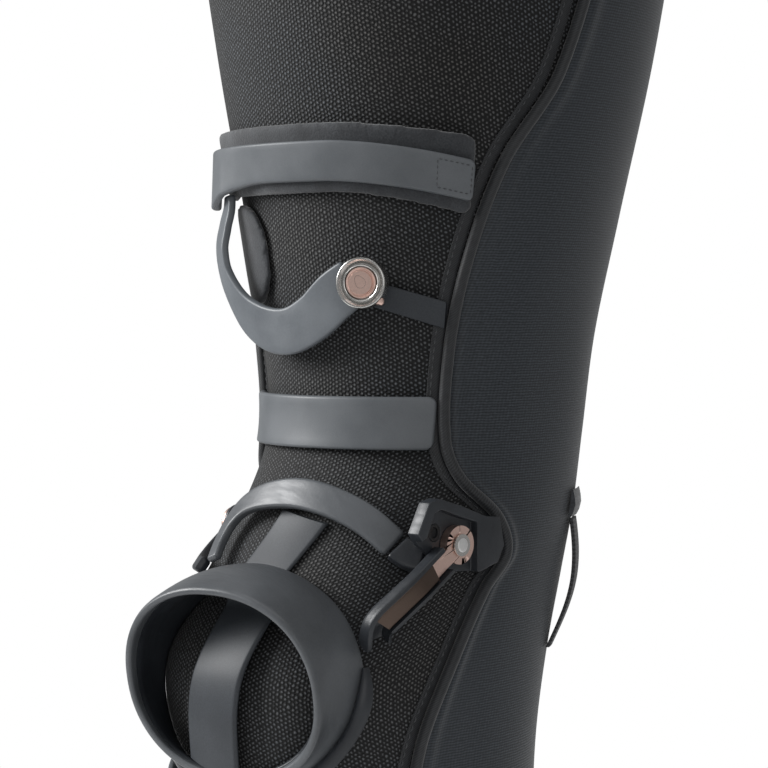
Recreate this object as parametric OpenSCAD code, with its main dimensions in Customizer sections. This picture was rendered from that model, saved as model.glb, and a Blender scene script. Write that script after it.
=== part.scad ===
// Knee brace: a knitted and neoprene sleeve with a hinged patella frame.
// Frame: millimetres, +Z up the leg, +X towards the outer (lateral) side, -Y to the front.
// The origin is on the knee hinge axis, midway between the two hinge pins.

/* [Sleeve] */
// Length of the sleeve above the hinge axis
thigh_len = 235; // [190:5:290]
// Length of the sleeve below the hinge axis
calf_len = 215; // [175:5:265]
// Outer radius of the round top opening
thigh_r = 95; // [85:1:115]
// Outer radius of the round bottom opening
calf_r = 56; // [46:1:68]
// Width of the sleeve across the knee
knee_w = 118; // [98:1:142]
// Depth of the sleeve through the knee
knee_d = 144; // [120:1:173]
// Thickness of the sleeve cloth
cloth_t = 3; // [2:0.5:4]
// Height of the neoprene face above the knit face
neoprene_proud = 0.6; // [0.2:0.1:1]
// Height of the sewn hem rings
hem_h = 9; // [6:1:14]
// How far a hem stands proud of the sleeve edge
hem_proud = 1; // [0.5:0.5:2]
// Radius of the piping along the seams
piping_r = 2.2; // [1.5:0.1:3]

/* [Bands] */
// Height of the middle band's centre above the hinge
band_z = 44; // [40:1:60]
// Width of the middle band
band_w = 20; // [12:1:24]
// Thickness of the middle band
band_t = 3.2; // [2:0.2:5]
// Height of the thigh cuff's centre above the hinge
cuff_z = 142; // [135:1:155]
// Width of the thigh cuff's strap
cuff_w = 15; // [11:1:18]
// Width of the pad under the cuff strap
cuff_pad_w = 30; // [22:1:36]
// Thickness of the pad under the cuff strap
cuff_pad_t = 4.2; // [3:0.2:6]
// Thickness of the cuff strap
cuff_t = 3.2; // [2:0.2:5]

/* [Swing arm] */
// Direction of the arm's pivot from the front, in degrees
pivot_phi = 27.5; // [22:0.5:34]
// Height of the arm's pivot above the hinge
pivot_z = 96.7; // [90:0.5:105]
// Radius of the pivot post
post_r = 3.5; // [2.5:0.5:5]
// Radius of the pivot's steel cup
cup_r = 9.6; // [8:0.2:12]
// Height of the pivot's steel cup
cup_h = 6; // [4:0.5:9]
// Thickness of the swing arm
arm_t = 3; // [2:0.2:4]
// How far the arm stands off the leg at its far side
arm_off = 11; // [9:0.5:16]

/* [Knee hinge] */
// Radius of the hinge pins
pin_r = 3; // [2.5:0.5:4]
// Thickness of a bracket's base plate
bracket_t = 2.2; // [1.6:0.2:4]
// Height of a bracket's raised border above its plate
border_h = 3.6; // [2:0.2:6]
// Thickness of the knuckle at the end of a link
knuckle_t = 3.5; // [2.5:0.5:6]
// Radius of the knuckle round the pin
knuckle_r = 7.2; // [6:0.2:8]
// Width of a link's channel
link_w = 11.5; // [8:0.5:12]
// Wall of a link's channel
link_wall = 1.5; // [1:0.1:2]

/* [Patella ring] */
// Height of the ring's centre below the hinge
ring_drop = 51; // [48:1:60]
// Sideways place of the ring's base centre
ring_x = 6.5; // [0:0.5:8]
// Half height of the ring's base
ring_base_h = 43; // [38:1:46]
// Half width of the ring's front rim
rim_w = 44; // [38:1:48]
// Half height of the ring's front rim
rim_h = 38; // [34:1:42]
// How far the rim stands in front of the knee
rim_out = 7; // [5:0.5:12]
// Wall of the ring
ring_t = 3.2; // [2.4:0.2:5]
// Width of the strap across the ring
strap_w = 25; // [18:1:30]

/* [Hidden] */
$fn = 64;

// Clearances: a soft piece on what it lies on, a seam, the seam of a gusset, a running fit.
seat = 0.5;
seam_gap = 0.3;
gusset_gap = 0.6;
run = 0.05;
half_w = knee_w / 2;
depth_k = knee_d / 144;

function mix(a, b, t) = a + (b - a) * t;

// Rows down the leg: height, centre's y, half width, front depth, back depth, front squareness.
leg_rows = [
    [-calf_len, 26, calf_r, calf_r, calf_r, 2],
    [-0.78 * calf_len, 24, mix(calf_r, half_w, 0.3), 60 * depth_k, 63 * depth_k, 2.1],
    [-0.57 * calf_len, 20, half_w - 1, 70 * depth_k, 68 * depth_k, 2.3],
    [-83, 17, half_w, 77 * depth_k, 74 * depth_k, 2.6],
    [-48, 19, half_w + 0.5, 82 * depth_k, 80 * depth_k, 2.8],
    [-18, 27, half_w, 73 * depth_k, 81 * depth_k, 2.5],
    [7, 36, half_w - 0.5, 65 * depth_k, 79 * depth_k, 2.2],
    [37, 43, half_w - 1, 59 * depth_k, 78 * depth_k, 2],
    [77, 46, half_w + 3, 63 * depth_k, 80 * depth_k, 2],
    [0.52 * thigh_len, 49, mix(half_w + 3, thigh_r, 0.27), mix(63 * depth_k, thigh_r, 0.28),
        mix(80 * depth_k, thigh_r, 0.4), 2],
    [0.753 * thigh_len, 52, mix(half_w + 3, thigh_r, 0.61), mix(63 * depth_k, thigh_r, 0.66),
        mix(80 * depth_k, thigh_r, 0.93), 2],
    [thigh_len, 56, thigh_r, thigh_r, thigh_r, 2]];

// Rows of the lateral seam: height, direction from the front in degrees.
seam_rows = [[-calf_len, 58], [-120, 57], [-75, 62], [-43, 73], [-18, 82], [-6, 89], [8, 81],
    [23, 63], [38, 55.5], [70, 54.5], [105, 58], [142, 66], [175, 79], [thigh_len, 85]];

// Smooth curve through rows whose first value is the height; gives the other values at z.
function rows_at(rows, z) =
    let (n = len(rows), zc = min(max(z, rows[0][0]), rows[n - 1][0]),
        i = min(n - 2, len([for (r = rows) if (r[0] <= zc) 1]) - 1),
        h = rows[i + 1][0] - rows[i][0], t = (zc - rows[i][0]) / h,
        a = rows[max(i - 1, 0)], b = rows[i], c = rows[i + 1], d = rows[min(i + 2, n - 1)])
    [for (k = [1 : len(b) - 1])
        let (mb = (c[k] - a[k]) / (c[0] - a[0]) * h, mc = (d[k] - b[k]) / (d[0] - b[0]) * h)
        (2 * t ^ 3 - 3 * t ^ 2 + 1) * b[k] + (t ^ 3 - 2 * t ^ 2 + t) * mb
            + (3 * t ^ 2 - 2 * t ^ 3) * c[k] + (t ^ 3 - t ^ 2) * mc];

// Smooth path through rows of any width, with `steps` points to each span.
function spline(rows, steps) =
    let (n = len(rows))
    [for (k = [0 : (n - 1) * steps])
        let (i = min(n - 2, floor(k / steps)), t = k / steps - i,
            a = rows[max(i - 1, 0)], b = rows[i], c = rows[i + 1], d = rows[min(i + 2, n - 1)])
        b + t * (c - a) / 2 + t ^ 2 * (2 * a - 5 * b + 4 * c - d) / 2
            + t ^ 3 * (3 * b - a - 3 * c + d) / 2];

// Point of the leg at direction phi (0 front, 90 lateral) and height z, d outside the knit.
function leg_pt(phi, z, d) =
    let (r = rows_at(leg_rows, z), c = cos(phi), n = c >= 0 ? r[4] : 2,
        b = c >= 0 ? r[2] : r[3],
        rad = (abs(sin(phi) / r[1]) ^ n + abs(c / b) ^ n) ^ (-1 / n) + d)
    [rad * sin(phi), r[0] - rad * c, z];

// Front of the leg at a sideways place x, d outside the knit.
function front_pt(x, z, d) =
    let (r = rows_at(leg_rows, z), u = min(0.97, abs(x) / (r[1] + d)))
    [x, r[0] - (r[2] + d) * (1 - u ^ r[4]) ^ (1 / r[4]), z];

function seam_phi(z) = rows_at(seam_rows, z)[0];
function unit(v) = v / norm(v);
function leg_normal(phi, z) = unit(cross(leg_pt(phi + 1, z, 0) - leg_pt(phi - 1, z, 0),
    leg_pt(phi, z + 1, 0) - leg_pt(phi, z - 1, 0)));
function lift(p, v, k) = [for (q = p) q + v * k];

// Edges of the cloth at the knee fan out from the hinge axis, so they clear when it bends.
function fan(y) = 8 * exp(-(y / 25) ^ 2);
function thigh_edge(y) = (y < 0 ? tan(6) : tan(28)) * y + fan(y);
function shin_edge(y) = (y < 0 ? tan(29) : -tan(48)) * y - fan(y);

// Direction on the knit front (w from -1 to 1) or the neoprene back (w from 0 to 1).
function knit_phi(w, z) = w * (seam_phi(z) - seam_gap);
function back_phi(w, z) = mix(seam_phi(z) + seam_gap, 360 - seam_phi(z) - seam_gap, w);
function side_phi(back, w, z) = back ? back_phi(w, z) : knit_phi(w, z);

// Height of the knee edge of a panel column, found by settling the height on its own edge.
function edge_z(back, w, thigh, z = 0, k = 30) =
    k == 0 ? z
        : let (y = leg_pt(side_phi(back, w, z), z, 0)[1])
            edge_z(back, w, thigh, mix(z, thigh ? thigh_edge(y) : shin_edge(y), 0.3), k - 1);

// Solid through closed sections; each is one side's points and then the other side's, reversed.
module skin(rings, closed = false) {
    n = len(rings[0]);
    m = len(rings);
    sides = [for (i = [0 : (closed ? m : m - 1) - 1], j = [0 : n - 1])
        let (a = i * n + j, b = i * n + (j + 1) % n, e = (i + 1) % m * n)
        each [[a, b, e + (j + 1) % n], [a, e + (j + 1) % n, e + j]]];
    caps = closed ? [] : [for (j = [0 : n / 2 - 2])
        let (a = j, b = j + 1, c = n - 2 - j, d = n - 1 - j, e = (m - 1) * n)
        each [[a, d, c], [a, c, b], [e + a, e + b, e + c], [e + a, e + c, e + d]]];
    polyhedron([for (ring = rings) each ring], concat(sides, caps), convexity = 8);
}

// Cloth panel: columns round the leg, each from z_low to z_high, between two offsets.
module panel(back, cols, rows, low, high, d_in, d_out) {
    skin([for (i = [0 : cols])
        let (w = back ? i / cols : 2 * i / cols - 1, z0 = low[i], z1 = high[i])
        concat([for (j = [0 : rows]) let (z = mix(z0, z1, j / rows))
                leg_pt(side_phi(back, w, z), z, d_out)],
            [for (j = [rows : -1 : 0]) let (z = mix(z0, z1, j / rows))
                leg_pt(side_phi(back, w, z), z, d_in)])]);
}

// Knee edges of every column of a panel, moved by gap along Z.
function edges(back, cols, thigh, gap) =
    [for (i = [0 : cols]) gap + edge_z(back, back ? i / cols : 2 * i / cols - 1, thigh)];
function level(cols, z) = [for (i = [0 : cols]) z];

knit_cols = 22;
back_cols = 22;
top_z = thigh_len - hem_h;
bottom_z = hem_h - calf_len;
module thigh_cloth(back) {
    n = back ? back_cols : knit_cols;
    panel(back, n, 13, edges(back, n, true, 0), level(n, top_z), -cloth_t, back ? neoprene_proud : 0);
}
module shin_cloth(back) {
    n = back ? back_cols : knit_cols;
    panel(back, n, 10, level(n, bottom_z), edges(back, n, false, 0), -cloth_t, back ? neoprene_proud : 0);
}
module thigh_knit_panel() color("#262a2d") thigh_cloth(false);
module thigh_back_panel() color("#3a3f45") thigh_cloth(true);
module shin_knit_panel() color("#262a2d") shin_cloth(false);
module shin_back_panel() color("#3a3f45") shin_cloth(true);

// Soft cloth between the two fanned edges, which stretches as the knee bends.
module knee_gusset_knit() color("#2a2d30")
    panel(false, knit_cols, 4, edges(false, knit_cols, false, gusset_gap),
        edges(false, knit_cols, true, -gusset_gap), -cloth_t, 0);

module knee_gusset_back() color("#353a40")
    panel(true, back_cols, 8, edges(true, back_cols, false, gusset_gap),
        edges(true, back_cols, true, -gusset_gap), -cloth_t, neoprene_proud);

// Bar along rows of [phi, z, middle offset, half width, half thickness] on the leg.
function bar_sec(hw, ht, c) = [[-hw, ht - c], [c - hw, ht], [hw - c, ht], [hw, ht - c],
    [hw, c - ht], [hw - c, -ht], [c - hw, -ht], [-hw, c - ht]];
module bar(rows, round_k = 0.5) {
    n = len(rows);
    pts = [for (r = rows) leg_pt(r[0], r[1], r[2])];
    skin([for (i = [0 : n - 1])
        let (t = unit(pts[min(i + 1, n - 1)] - pts[max(i - 1, 0)]),
            o = leg_normal(rows[i][0], rows[i][1]),
            nn = unit(o - t * (o * t)), b = cross(nn, t),
            ht = rows[i][4], c = ht * 2 * round_k * 0.6)
        [for (q = bar_sec(rows[i][3], ht, min(c, rows[i][3] * 0.9))) pts[i] + b * q[0] + nn * q[1]]]);
}

// Band round the leg from phi0 to phi1; top and bottom give its edges' heights.
module band(phi0, phi1, steps, top, bottom, d_in, d_out, edge = 0.8, rows = 2,
    tilt = function (phi) 0) {
    skin([for (i = [0 : steps])
        let (phi = mix(phi0, phi1, i / steps), a = bottom(phi), b = top(phi),
            di = d_in(phi), do = d_out(phi), tl = tilt(phi),
            zs = [for (j = [0 : rows]) mix(a + edge, b - edge, j / rows)])
        concat([leg_pt(phi, a, do - edge + tl)],
            [for (j = [0 : rows]) leg_pt(phi, zs[j], do + tl * (1 - j / rows))],
            [leg_pt(phi, b, do - edge), leg_pt(phi, b, di + 0.3)],
            [for (j = [rows : -1 : 0]) leg_pt(phi, zs[j], di + tl * (1 - j / rows))],
            [leg_pt(phi, a, di + 0.3 + tl)])]);
}

// Round hem rings, one at each open end.
module hem(r, y, z) translate([0, y, z]) rotate_extrude()
    translate([r - cloth_t, 0]) square([cloth_t + hem_proud, hem_h]);
module thigh_hem() color("#2b2f33") hem(thigh_r, leg_rows[len(leg_rows) - 1][1], top_z);
module shin_hem() color("#2b2f33") hem(calf_r, leg_rows[0][1], -calf_len);

// Piping along a seam between two heights.
module piping(s, z0, z1, steps) {
    rows = [for (i = [0 : steps]) let (z = mix(z0, z1, i / steps)) [seam_phi(z), z]];
    pts = [for (r = rows) leg_pt(r[0], r[1], neoprene_proud + piping_r + 0.15)];
    rings = [for (i = [0 : steps])
        let (t = unit(pts[min(i + 1, steps)] - pts[max(i - 1, 0)]),
            o = leg_pt(rows[i][0], rows[i][1], 9) - pts[i], nn = unit(o - t * (o * t)),
            b = cross(nn, t))
        [for (k = [0 : 5]) pts[i] + piping_r * (b * cos(-60 * k) + nn * sin(-60 * k))]];
    if (s > 0) skin(rings);
    else mirror([1, 0, 0]) skin(rings);
}
seam_thigh_z = edge_z(true, 0, true) + 1;
seam_shin_z = edge_z(true, 0, false) - 1;
module thigh_piping_lateral() color("#23262a") piping(1, seam_thigh_z, top_z - 0.9, 24);
module thigh_piping_medial() color("#23262a") piping(-1, seam_thigh_z, top_z - 0.9, 24);
module shin_piping_lateral() color("#23262a") piping(1, bottom_z + 0.9, seam_shin_z, 20);
module shin_piping_medial() color("#23262a") piping(-1, bottom_z + 0.9, seam_shin_z, 20);
module knee_piping_lateral() color("#23262a")
    piping(1, seam_shin_z + seam_gap, seam_thigh_z - seam_gap, 10);
module knee_piping_medial() color("#23262a")
    piping(-1, seam_shin_z + seam_gap, seam_thigh_z - seam_gap, 10);

// Thigh cuff: a soft pad, and a strap over it that dips towards its lateral end.
cuff_phi0 = -50;
cuff_phi1 = 58;
function cuff_dip(phi) = -8 * (max(0, phi - 17) / 40) ^ 1.6;
module cuff_pad() color("#4b5157")
    band(cuff_phi0 - 3, cuff_phi1, 24, function (phi) cuff_z + cuff_pad_w / 2 + cuff_dip(phi) * 0.7,
        function (phi) cuff_z - cuff_pad_w / 2 + 3 + cuff_dip(phi) * 1.1, function (phi) seat,
        function (phi) seat + cuff_pad_t, 1.5);
cuff_in = seat + cuff_pad_t + seam_gap;
function cuff_flare(phi) = 0.44 * arm_off * min(1, max(0, -8 - phi) / 16) ^ 1.5;
function cuff_drop(phi) = 8 * min(1, max(0, -6 - phi) / 30) ^ 1.5;
module cuff_strap() color("#5b6268")
    band(cuff_phi0, cuff_phi1 - 1, 24, function (phi) cuff_z + cuff_w / 2 + cuff_dip(phi),
        function (phi) cuff_z - cuff_w / 2 + cuff_dip(phi) - cuff_drop(phi),
        function (phi) cuff_in, function (phi) cuff_in + cuff_t, tilt = function (phi) cuff_flare(phi));

// Middle band, flat elastic with rounded ends.
band_phi = 51.5;
module middle_band() color("#5b6268")
    band(0.5 - band_phi, band_phi, 24,
        function (phi) band_z + band_w / 2 * (1 - 0.35 * max(0, abs(phi) / band_phi * 6 - 5)),
        function (phi) band_z - band_w / 2 * (1 - 0.35 * max(0, abs(phi) / band_phi * 6 - 5)),
        function (phi) seat + 0.2, function (phi) seat + 0.2 + band_t);

// Crescent pad on the knit behind the far side of the swing arm.
module arm_pad() color("#24272a")
    band(-37, -13, 6, function (phi) 108 + 20 * sqrt(max(0.1, 1 - ((phi + 25) / 12.5) ^ 2)),
        function (phi) 108 - 20 * sqrt(max(0.1, 1 - ((phi + 25) / 12.5) ^ 2)),
        function (phi) seat, function (phi) seat + 1.5 + 3 * max(0, 1 - ((phi + 25) / 12) ^ 2));

// Pivot of the swing arm: a frame whose X runs along the post, away from the leg.
pivot_d = 5.5;
module at_pivot() {
    p = leg_pt(pivot_phi, pivot_z, 0);
    translate(p) rotate([0, 0, pivot_phi - 90]) children();
}
module post_cyl(r, x0, x1) translate([x0, 0, 0]) rotate([0, 90, 0]) cylinder(r = r, h = x1 - x0);
strap_t = 1.8;
plate_x = seat + strap_t + 0.2;
arm_x = plate_x + 1.2;

// Flat black strap that ties the pivot's plate back to the seam.
module rivet_strap() color("#1f2225") difference() {
    band(pivot_phi - 6, 53, 6, function (phi) mix(101, 90.5, (phi - 21) / 32) - 1,
        function (phi) mix(91, 80, (phi - 21) / 32) - 0.5, function (phi) seat,
        function (phi) seat + strap_t, 0.4);
    at_pivot() post_cyl(post_r + 0.4, -6, 9);
}
// Post with its round base plate, fixed through the strap.
module rivet_post() color("#8d8f92") at_pivot() {
    post_cyl(post_r, seat + 0.2, cup_x + cup_floor + run);
    post_cyl(post_r + 3, plate_x + 0.6, arm_x - run);
}
// Swing arm: a curved flat bar with an eye on the post.
arm_rows = [[24, 97.5, arm_x + 1.6, 9], [17.5, 92, arm_x + 1.9, 9.4], [9, 83.5, arm_x + 2.2, 9.2],
    [-1, 78.5, 6.8, 9], [-12, 80, 8.2, 8.5], [-22, 87, 10.5, 7.5], [-28, 99, arm_off + 2, 6.5],
    [-29, 110, arm_off + 2, 6], [-28.5, 119, arm_off - 0.6, 5.5], [-28, 126, arm_off - 3.2, 5],
    [-28, 131.5, arm_off - 4.4, 4.6]];
module swing_arm() color("#7d8389") difference() {
    union() {
        bar([for (r = spline(arm_rows, 5)) [r[0], r[1], r[2], r[3], arm_t / 2]]);
        at_pivot() post_cyl(cup_r - 1.2, arm_x, arm_x + arm_t);
    }
    at_pivot() post_cyl(post_r + run, -10, 20);
    at_pivot() post_cyl(cup_r + 0.4, arm_x + arm_t, arm_x + arm_t + 6);
    at_pivot() post_cyl(cup_r + 0.4, arm_x - 8, arm_x);
}
// Steel cup over the eye, turned from one piece, with the socket screw in its middle.
cup_x = arm_x + arm_t;
cup_floor = 2.6;
module rivet_cup() color("#c9c6c0") at_pivot() difference() {
    post_cyl(cup_r, cup_x, cup_x + cup_h);
    post_cyl(cup_r - 1.6, cup_x + cup_floor, cup_x + cup_h + 1);
    post_cyl(post_r + 0.5, cup_x - 1, cup_x + cup_floor + 1);
}
module rivet_screw() color("#d9a98f") at_pivot() difference() {
    post_cyl(6, cup_x + cup_floor + run, cup_x + cup_h - 0.6);
    translate([cup_x + 4.2, 0, 0]) rotate([0, 90, 0]) cylinder(r = 2.1, h = 4, $fn = 6);
}

// Upper patella arch and the caps that tie its ends to the hinge brackets.
arch_t = 3.4;
arch_rows = [[-16, -9, 7, 3], [-18.5, -2, 7, 3.2], [-18.5, 5, 7, 3.8], [-14, 11.5, 6.8, 4.6],
    [-5, 15.8, 6.4, 5.6], [8, 17.4, 6, 6.1], [21, 14.8, 5.6, 6.1], [33, 9, 5.2, 6], [44, 0, 5, 5.8]];
module patella_arch() color("#666c72")
    bar([for (r = spline(arch_rows, 5)) [r[0], r[1], r[2], r[3], arch_t / 2]]);
module arch_cap(rows) color("#54595e")
    bar([for (r = spline(rows, 3)) [r[0], r[1], r[2], r[3], arch_t / 2 + 0.5]]);
module arch_cap_lateral() arch_cap([[44.9, -0.9, 5, 5.6], [49, -4, 6.3, 5.2], [53.5, -6, 7.9, 4.6]]);
module arch_cap_medial() 
    arch_cap([[-53, -3, 3.4, 3.4], [-44, -7.5, 3.3, 3.2], [-33, -12, 4.4, 3], [-20.5, -11.5, 7, 3]]);
// Strap in the arch's window; it runs down under the top of the ring.
module arch_strap() color("#2f3438")
    skin([for (i = [0 : 8])
        let (x = mix(-1, 1, i / 8) * 12)
        concat([for (j = [0 : 5]) arch_strap_pt(x, j / 5, 2.4)],
            [for (j = [5 : -1 : 0]) arch_strap_pt(x, j / 5, seat + 0.1)])]);
function arch_strap_pt(x, t, d) =
    let (z = mix(-9.5, 11 - 0.18 * (x + 12), t)) front_pt(x + 9 + z * 0.35, z, d);

// Hinge: everything from here to the links is drawn on the lateral side and mirrored.
// The medial hinge is slimmer, with a round plate close to the cloth.
function bracket_x(s) = half_w + (s > 0 ? 1.3 : -2.7);
function slim(s, lateral, share) = s > 0 ? lateral : lateral * share;
function plate_out(s) = bracket_x(s) + slim(s, bracket_t, 0.75);
function knuckle_x(s) = plate_out(s) + 0.3;
function knuckle_out(s) = knuckle_x(s) + slim(s, knuckle_t, 0.65);
function pin_end(s) = knuckle_out(s) + 0.3;
bracket_outline = [[-22, 5.3], [-16, 16.5], [-10.7, 17.7], [1, 14.4], [14.5, 9.6], [22, 9],
    [24.5, -1.8], [21, -8], [11, -10.8], [-3, -10], [-19, 1.2]];
pocket = [[-17.2, 4], [-13.2, 12.6], [-9.8, 13.6], [1.5, 10], [9.6, 7.8], [9.6, -20], [-30, -20],
    [-30, -3]];
function socket_yz(s) = s > 0 ? [-10, 5] : [2.8, 4.6];
module along_x(x0, t) translate([x0, 0, 0]) rotate([90, 0, 90]) linear_extrude(t) children();
module pin_cyl(r, x0, x1, yz = [0, 0]) translate([x0, yz[0], yz[1]]) rotate([0, 90, 0])
    cylinder(r = r, h = x1 - x0);
module side(s) {
    if (s > 0) children();
    else mirror([1, 0, 0]) children();
}
module bracket(s) color("#2f3337") side(s) difference() {
    if (s > 0) union() {
        along_x(bracket_x(s), bracket_t) polygon(bracket_outline);
        along_x(plate_out(s) - 0.01, border_h) difference() {
            polygon(bracket_outline);
            polygon(pocket);
        }
    }
    else pin_cyl(7.6, bracket_x(s), plate_out(s));
    pin_cyl(pin_r, bracket_x(s) - 1, plate_out(s) + 1);
    pin_cyl(slim(s, 3.2, 0.5), bracket_x(s) - 1, plate_out(s) + 1, socket_yz(s));
}
module hinge_bracket_lateral() bracket(1);
module hinge_bracket_medial() bracket(-1);
// Foam pad between a bracket's inner face and the cloth.
module bracket_pad(s) color("#1d1f21") side(s)
    skin([for (i = [0 : 5])
        let (y = s > 0 ? mix(5, 20, i / 5) : mix(-4, 4, i / 5), k = s > 0 ? 0 : -5.5)
        concat([for (z = [3.5, 5, 6.5, 8]) [bracket_x(s), y, z + k]],
            [for (z = [8 + k, 6.5 + k, 5 + k, 3.5 + k]) let (r = rows_at(leg_rows, z))
                [(r[1] + seat + neoprene_proud) * (1 - (abs(y - r[0]) / (r[2] + 1)) ^ 2.2) ^ (1 / 2.2),
                    y, z]])]);
module bracket_pad_lateral() bracket_pad(1);
module bracket_pad_medial() bracket_pad(-1);
// Round socket pressed into the plate beside the pin.
module socket(s) color("#151719") side(s) difference() {
    pin_cyl(slim(s, 3.2, 0.5), bracket_x(s), plate_out(s), socket_yz(s));
    pin_cyl(slim(s, 2, 0.5), bracket_x(s) + 0.8, plate_out(s) + 1, socket_yz(s));
}
module hinge_socket_lateral() socket(1);
module hinge_socket_medial() socket(-1);
// Hinge pin, fast in the bracket, with a flat round head outside the knuckle.
module hinge_pin(s) color("#e4e4e2") side(s) {
    pin_cyl(pin_r, bracket_x(s), pin_end(s));
    pin_cyl(pin_r + slim(s, 1.2, 0.5), pin_end(s), pin_end(s) + slim(s, 1.2, 0.8));
}
module hinge_pin_lateral() hinge_pin(1);
module hinge_pin_medial() hinge_pin(-1);

// Patella ring: a wall from a base on the knee to an oval rim that leans out and down.
ring_steps = 56;
ring_base_w = half_w - 12.5;
rim_turn = 12;
rim_tip = 12;
rim_n = [sin(rim_turn) * cos(rim_tip), -cos(rim_turn) * cos(rim_tip), -sin(rim_tip)];
rim_r = [cos(rim_turn), sin(rim_turn), 0];
rim_u = cross(rim_r, rim_n) * -1;
rim_c = [12, front_pt(0, -ring_drop, rim_out)[1], -ring_drop];
function oval(a, w, h, n) = (abs(cos(a) / w) ^ n + abs(sin(a) / h) ^ n) ^ (-1 / n);
function base_lift(a) = seat + 0.3 + 4.6 * max(0, sin(a)) ^ 8;
function base_pt(a, grow) =
    let (r = oval(a, ring_base_w, ring_base_h, 2) + grow)
    front_pt(ring_x + r * cos(a), r * sin(a) - ring_drop, base_lift(a));
function rim_pt(a, grow) =
    let (r = oval(a, rim_w, rim_h, 2.2) + grow)
    rim_c + rim_r * (r * cos(a)) + rim_u * (r * sin(a));
function wall_pt(a, s, grow) =
    mix(base_pt(a, grow), rim_pt(a, grow), s)
        + (3 * cos(a - 115) - 0.2) * sin(180 * s) * [cos(a), 0, sin(a)];
module patella_ring() color("#70767c")
    skin([for (i = [0 : ring_steps - 1])
        let (a = 360 * i / ring_steps)
        concat([for (j = [0 : 5]) wall_pt(a, j / 5, 0)], [for (j = [5 : -1 : 0]) wall_pt(a, j / 5, -ring_t)])], closed = true);
// Second lip round the lower half of the ring's base, outside a narrow groove.
module ring_flange() color("#3c4146")
    skin([for (i = [0 : 44])
        let (a = mix(-192, 10, i / 44))
        [for (q = [[0.02, 0.5], [0.2, 1], [0.24, 3], [0.2, 4.2], [0.06, 5], [0.02, 4]])
            wall_pt(a, q[0], 0) + q[1] * [cos(a), 0, sin(a)]]]);
// Strap across the ring in front of the knee cap.
module patella_strap() color("#4a5056")
    skin([for (i = [0 : 6])
        let (x = mix(-1, 1, i / 6) * strap_w / 2)
        concat([for (j = [0 : 10]) strap_pt(x, j / 10, 1.1)],
            [for (j = [10 : -1 : 0]) strap_pt(x, j / 10, -1.1)])]);
function ring_sag(x, xc) = 1.15 * ring_base_h * (1 - (1 - min(0.9, abs(x - xc) / rim_w) ^ 2) ^ 0.5);
function strap_pt(x, t, d) =
    let (lo = wall_pt(-90, 0.55, -ring_t - 0.6), hi = wall_pt(90, 0.55, -ring_t - 0.6),
        z = mix(lo[2] + ring_sag(x + 3, lo[0]), hi[2] - ring_sag(x + 12, hi[0]), t), p = front_pt(x + 3 + 9 * t, z, 5.2 + d),
        y = mix(lo[1], hi[1], t) - d, k = max(0, abs(2 * t - 1) * 3 - 2) ^ 2)
    [p[0], min(p[1], mix(p[1], y, k)), z];

// Links: rows of [x, y, z, half thickness] from the knuckle to the ring.
link_start = 9;
link_dir = unit([0, -48.2, -31.6]);
function flip_x(v) = [-v[0], v[1], v[2]];
link_in = knuckle_x(1) + 2.6;
medial_in = knuckle_x(-1) + 1.8;
medial_dir = unit([0, -0.35, -1]);
lat_rows = [concat([link_in, 0, 0] + link_dir * link_start, 2.6),
    concat([link_in, 0, 0] + link_dir * 18, 2.6), concat([link_in, 0, 0] + link_dir * 25, 2.6),
    [link_in - 3.2, -28.5, -20.5, 2.8], [link_in - 7.6, -34, -27.5, 3],
    concat(wall_pt(20, 0.12, 3.7), 3)];
med_rows = [concat([medial_in, 0, 0] + medial_dir * link_start, 1.8),
    concat([medial_in, 0, 0] + medial_dir * 17, 1.8), [medial_in - 0.4, -12.5, -25.5, 1.8],
    [medial_in - 2, -22, -32, 1.8], [medial_in - 4.5, -33, -36.5, 1.8],
    concat(flip_x(wall_pt(157, 0.12, 4)), 1.8)];
function link_sec(w, h, t) = [[w, h], [w, -h], [-w, -h], [-w, h], [t - w, h], [t - w, t - h],
    [w - t, t - h], [w - t, h]];
function rod_sec(w, lo, hi) = [[w, hi], [w, lo], [-w, lo], [-w, hi]];
module along_link(rows, rod, width, wall) {
    path = spline(rows, 3);
    n = len(path);
    pts = [for (r = path) [r[0], r[1], r[2]]];
    a = rod ? 3 : 0;
    b = rod ? n - 6 : n - 1;
    skin([for (i = [a : b])
        let (t = unit(pts[min(i + 1, n - 1)] - pts[max(i - 1, 0)]),
            o = [1, -0.4 * max(0, i / (n - 1) - 0.5), 0], nn = unit(o - t * (o * t)),
            c = cross(nn, t), h = path[i][3],
            s = rod ? rod_sec(width / 2 - wall - 0.7, wall - h + 0.3, h - 0.8)
                : link_sec(width / 2, h, wall))
        [for (q = s) pts[i] + c * q[0] + nn * q[1]]]);
}
module link_arm_lateral() color("#3b3f43") along_link(lat_rows, false, link_w, link_wall);
module link_arm_medial() color("#3b3f43") mirror([1, 0, 0]) 
    along_link(med_rows, false, 0.7 * link_w, 0.8 * link_wall);
module link_rod_lateral() color("#8a6a52") along_link(lat_rows, true, link_w, link_wall);
module link_rod_medial() color("#8a6a52") mirror([1, 0, 0]) 
    along_link(med_rows, true, 0.7 * link_w, 0.8 * link_wall);
// Knuckle: the eye on the pin, with a tongue that reaches into the link's channel.
module knuckle(s) color("#b9a79a") side(s) difference() {
    union() {
        pin_cyl(slim(s, knuckle_r, 0.88), knuckle_x(s), knuckle_out(s));
        let (dir = s > 0 ? link_dir : medial_dir, wall = slim(s, link_wall, 0.8), w = slim(s, 6, 0.6))
            rotate([atan2(-dir[2], -dir[1]), 0, 0])
                translate([knuckle_x(s) + wall + 0.15, -16, -w / 2])
                    cube([knuckle_out(s) - knuckle_x(s) - wall - 0.15, 16, w]);
    }
    pin_cyl(pin_r + run, knuckle_x(s) - 1, pin_end(s) + 1);
}
module knuckle_lateral() knuckle(1);
module knuckle_medial() knuckle(-1);

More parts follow.
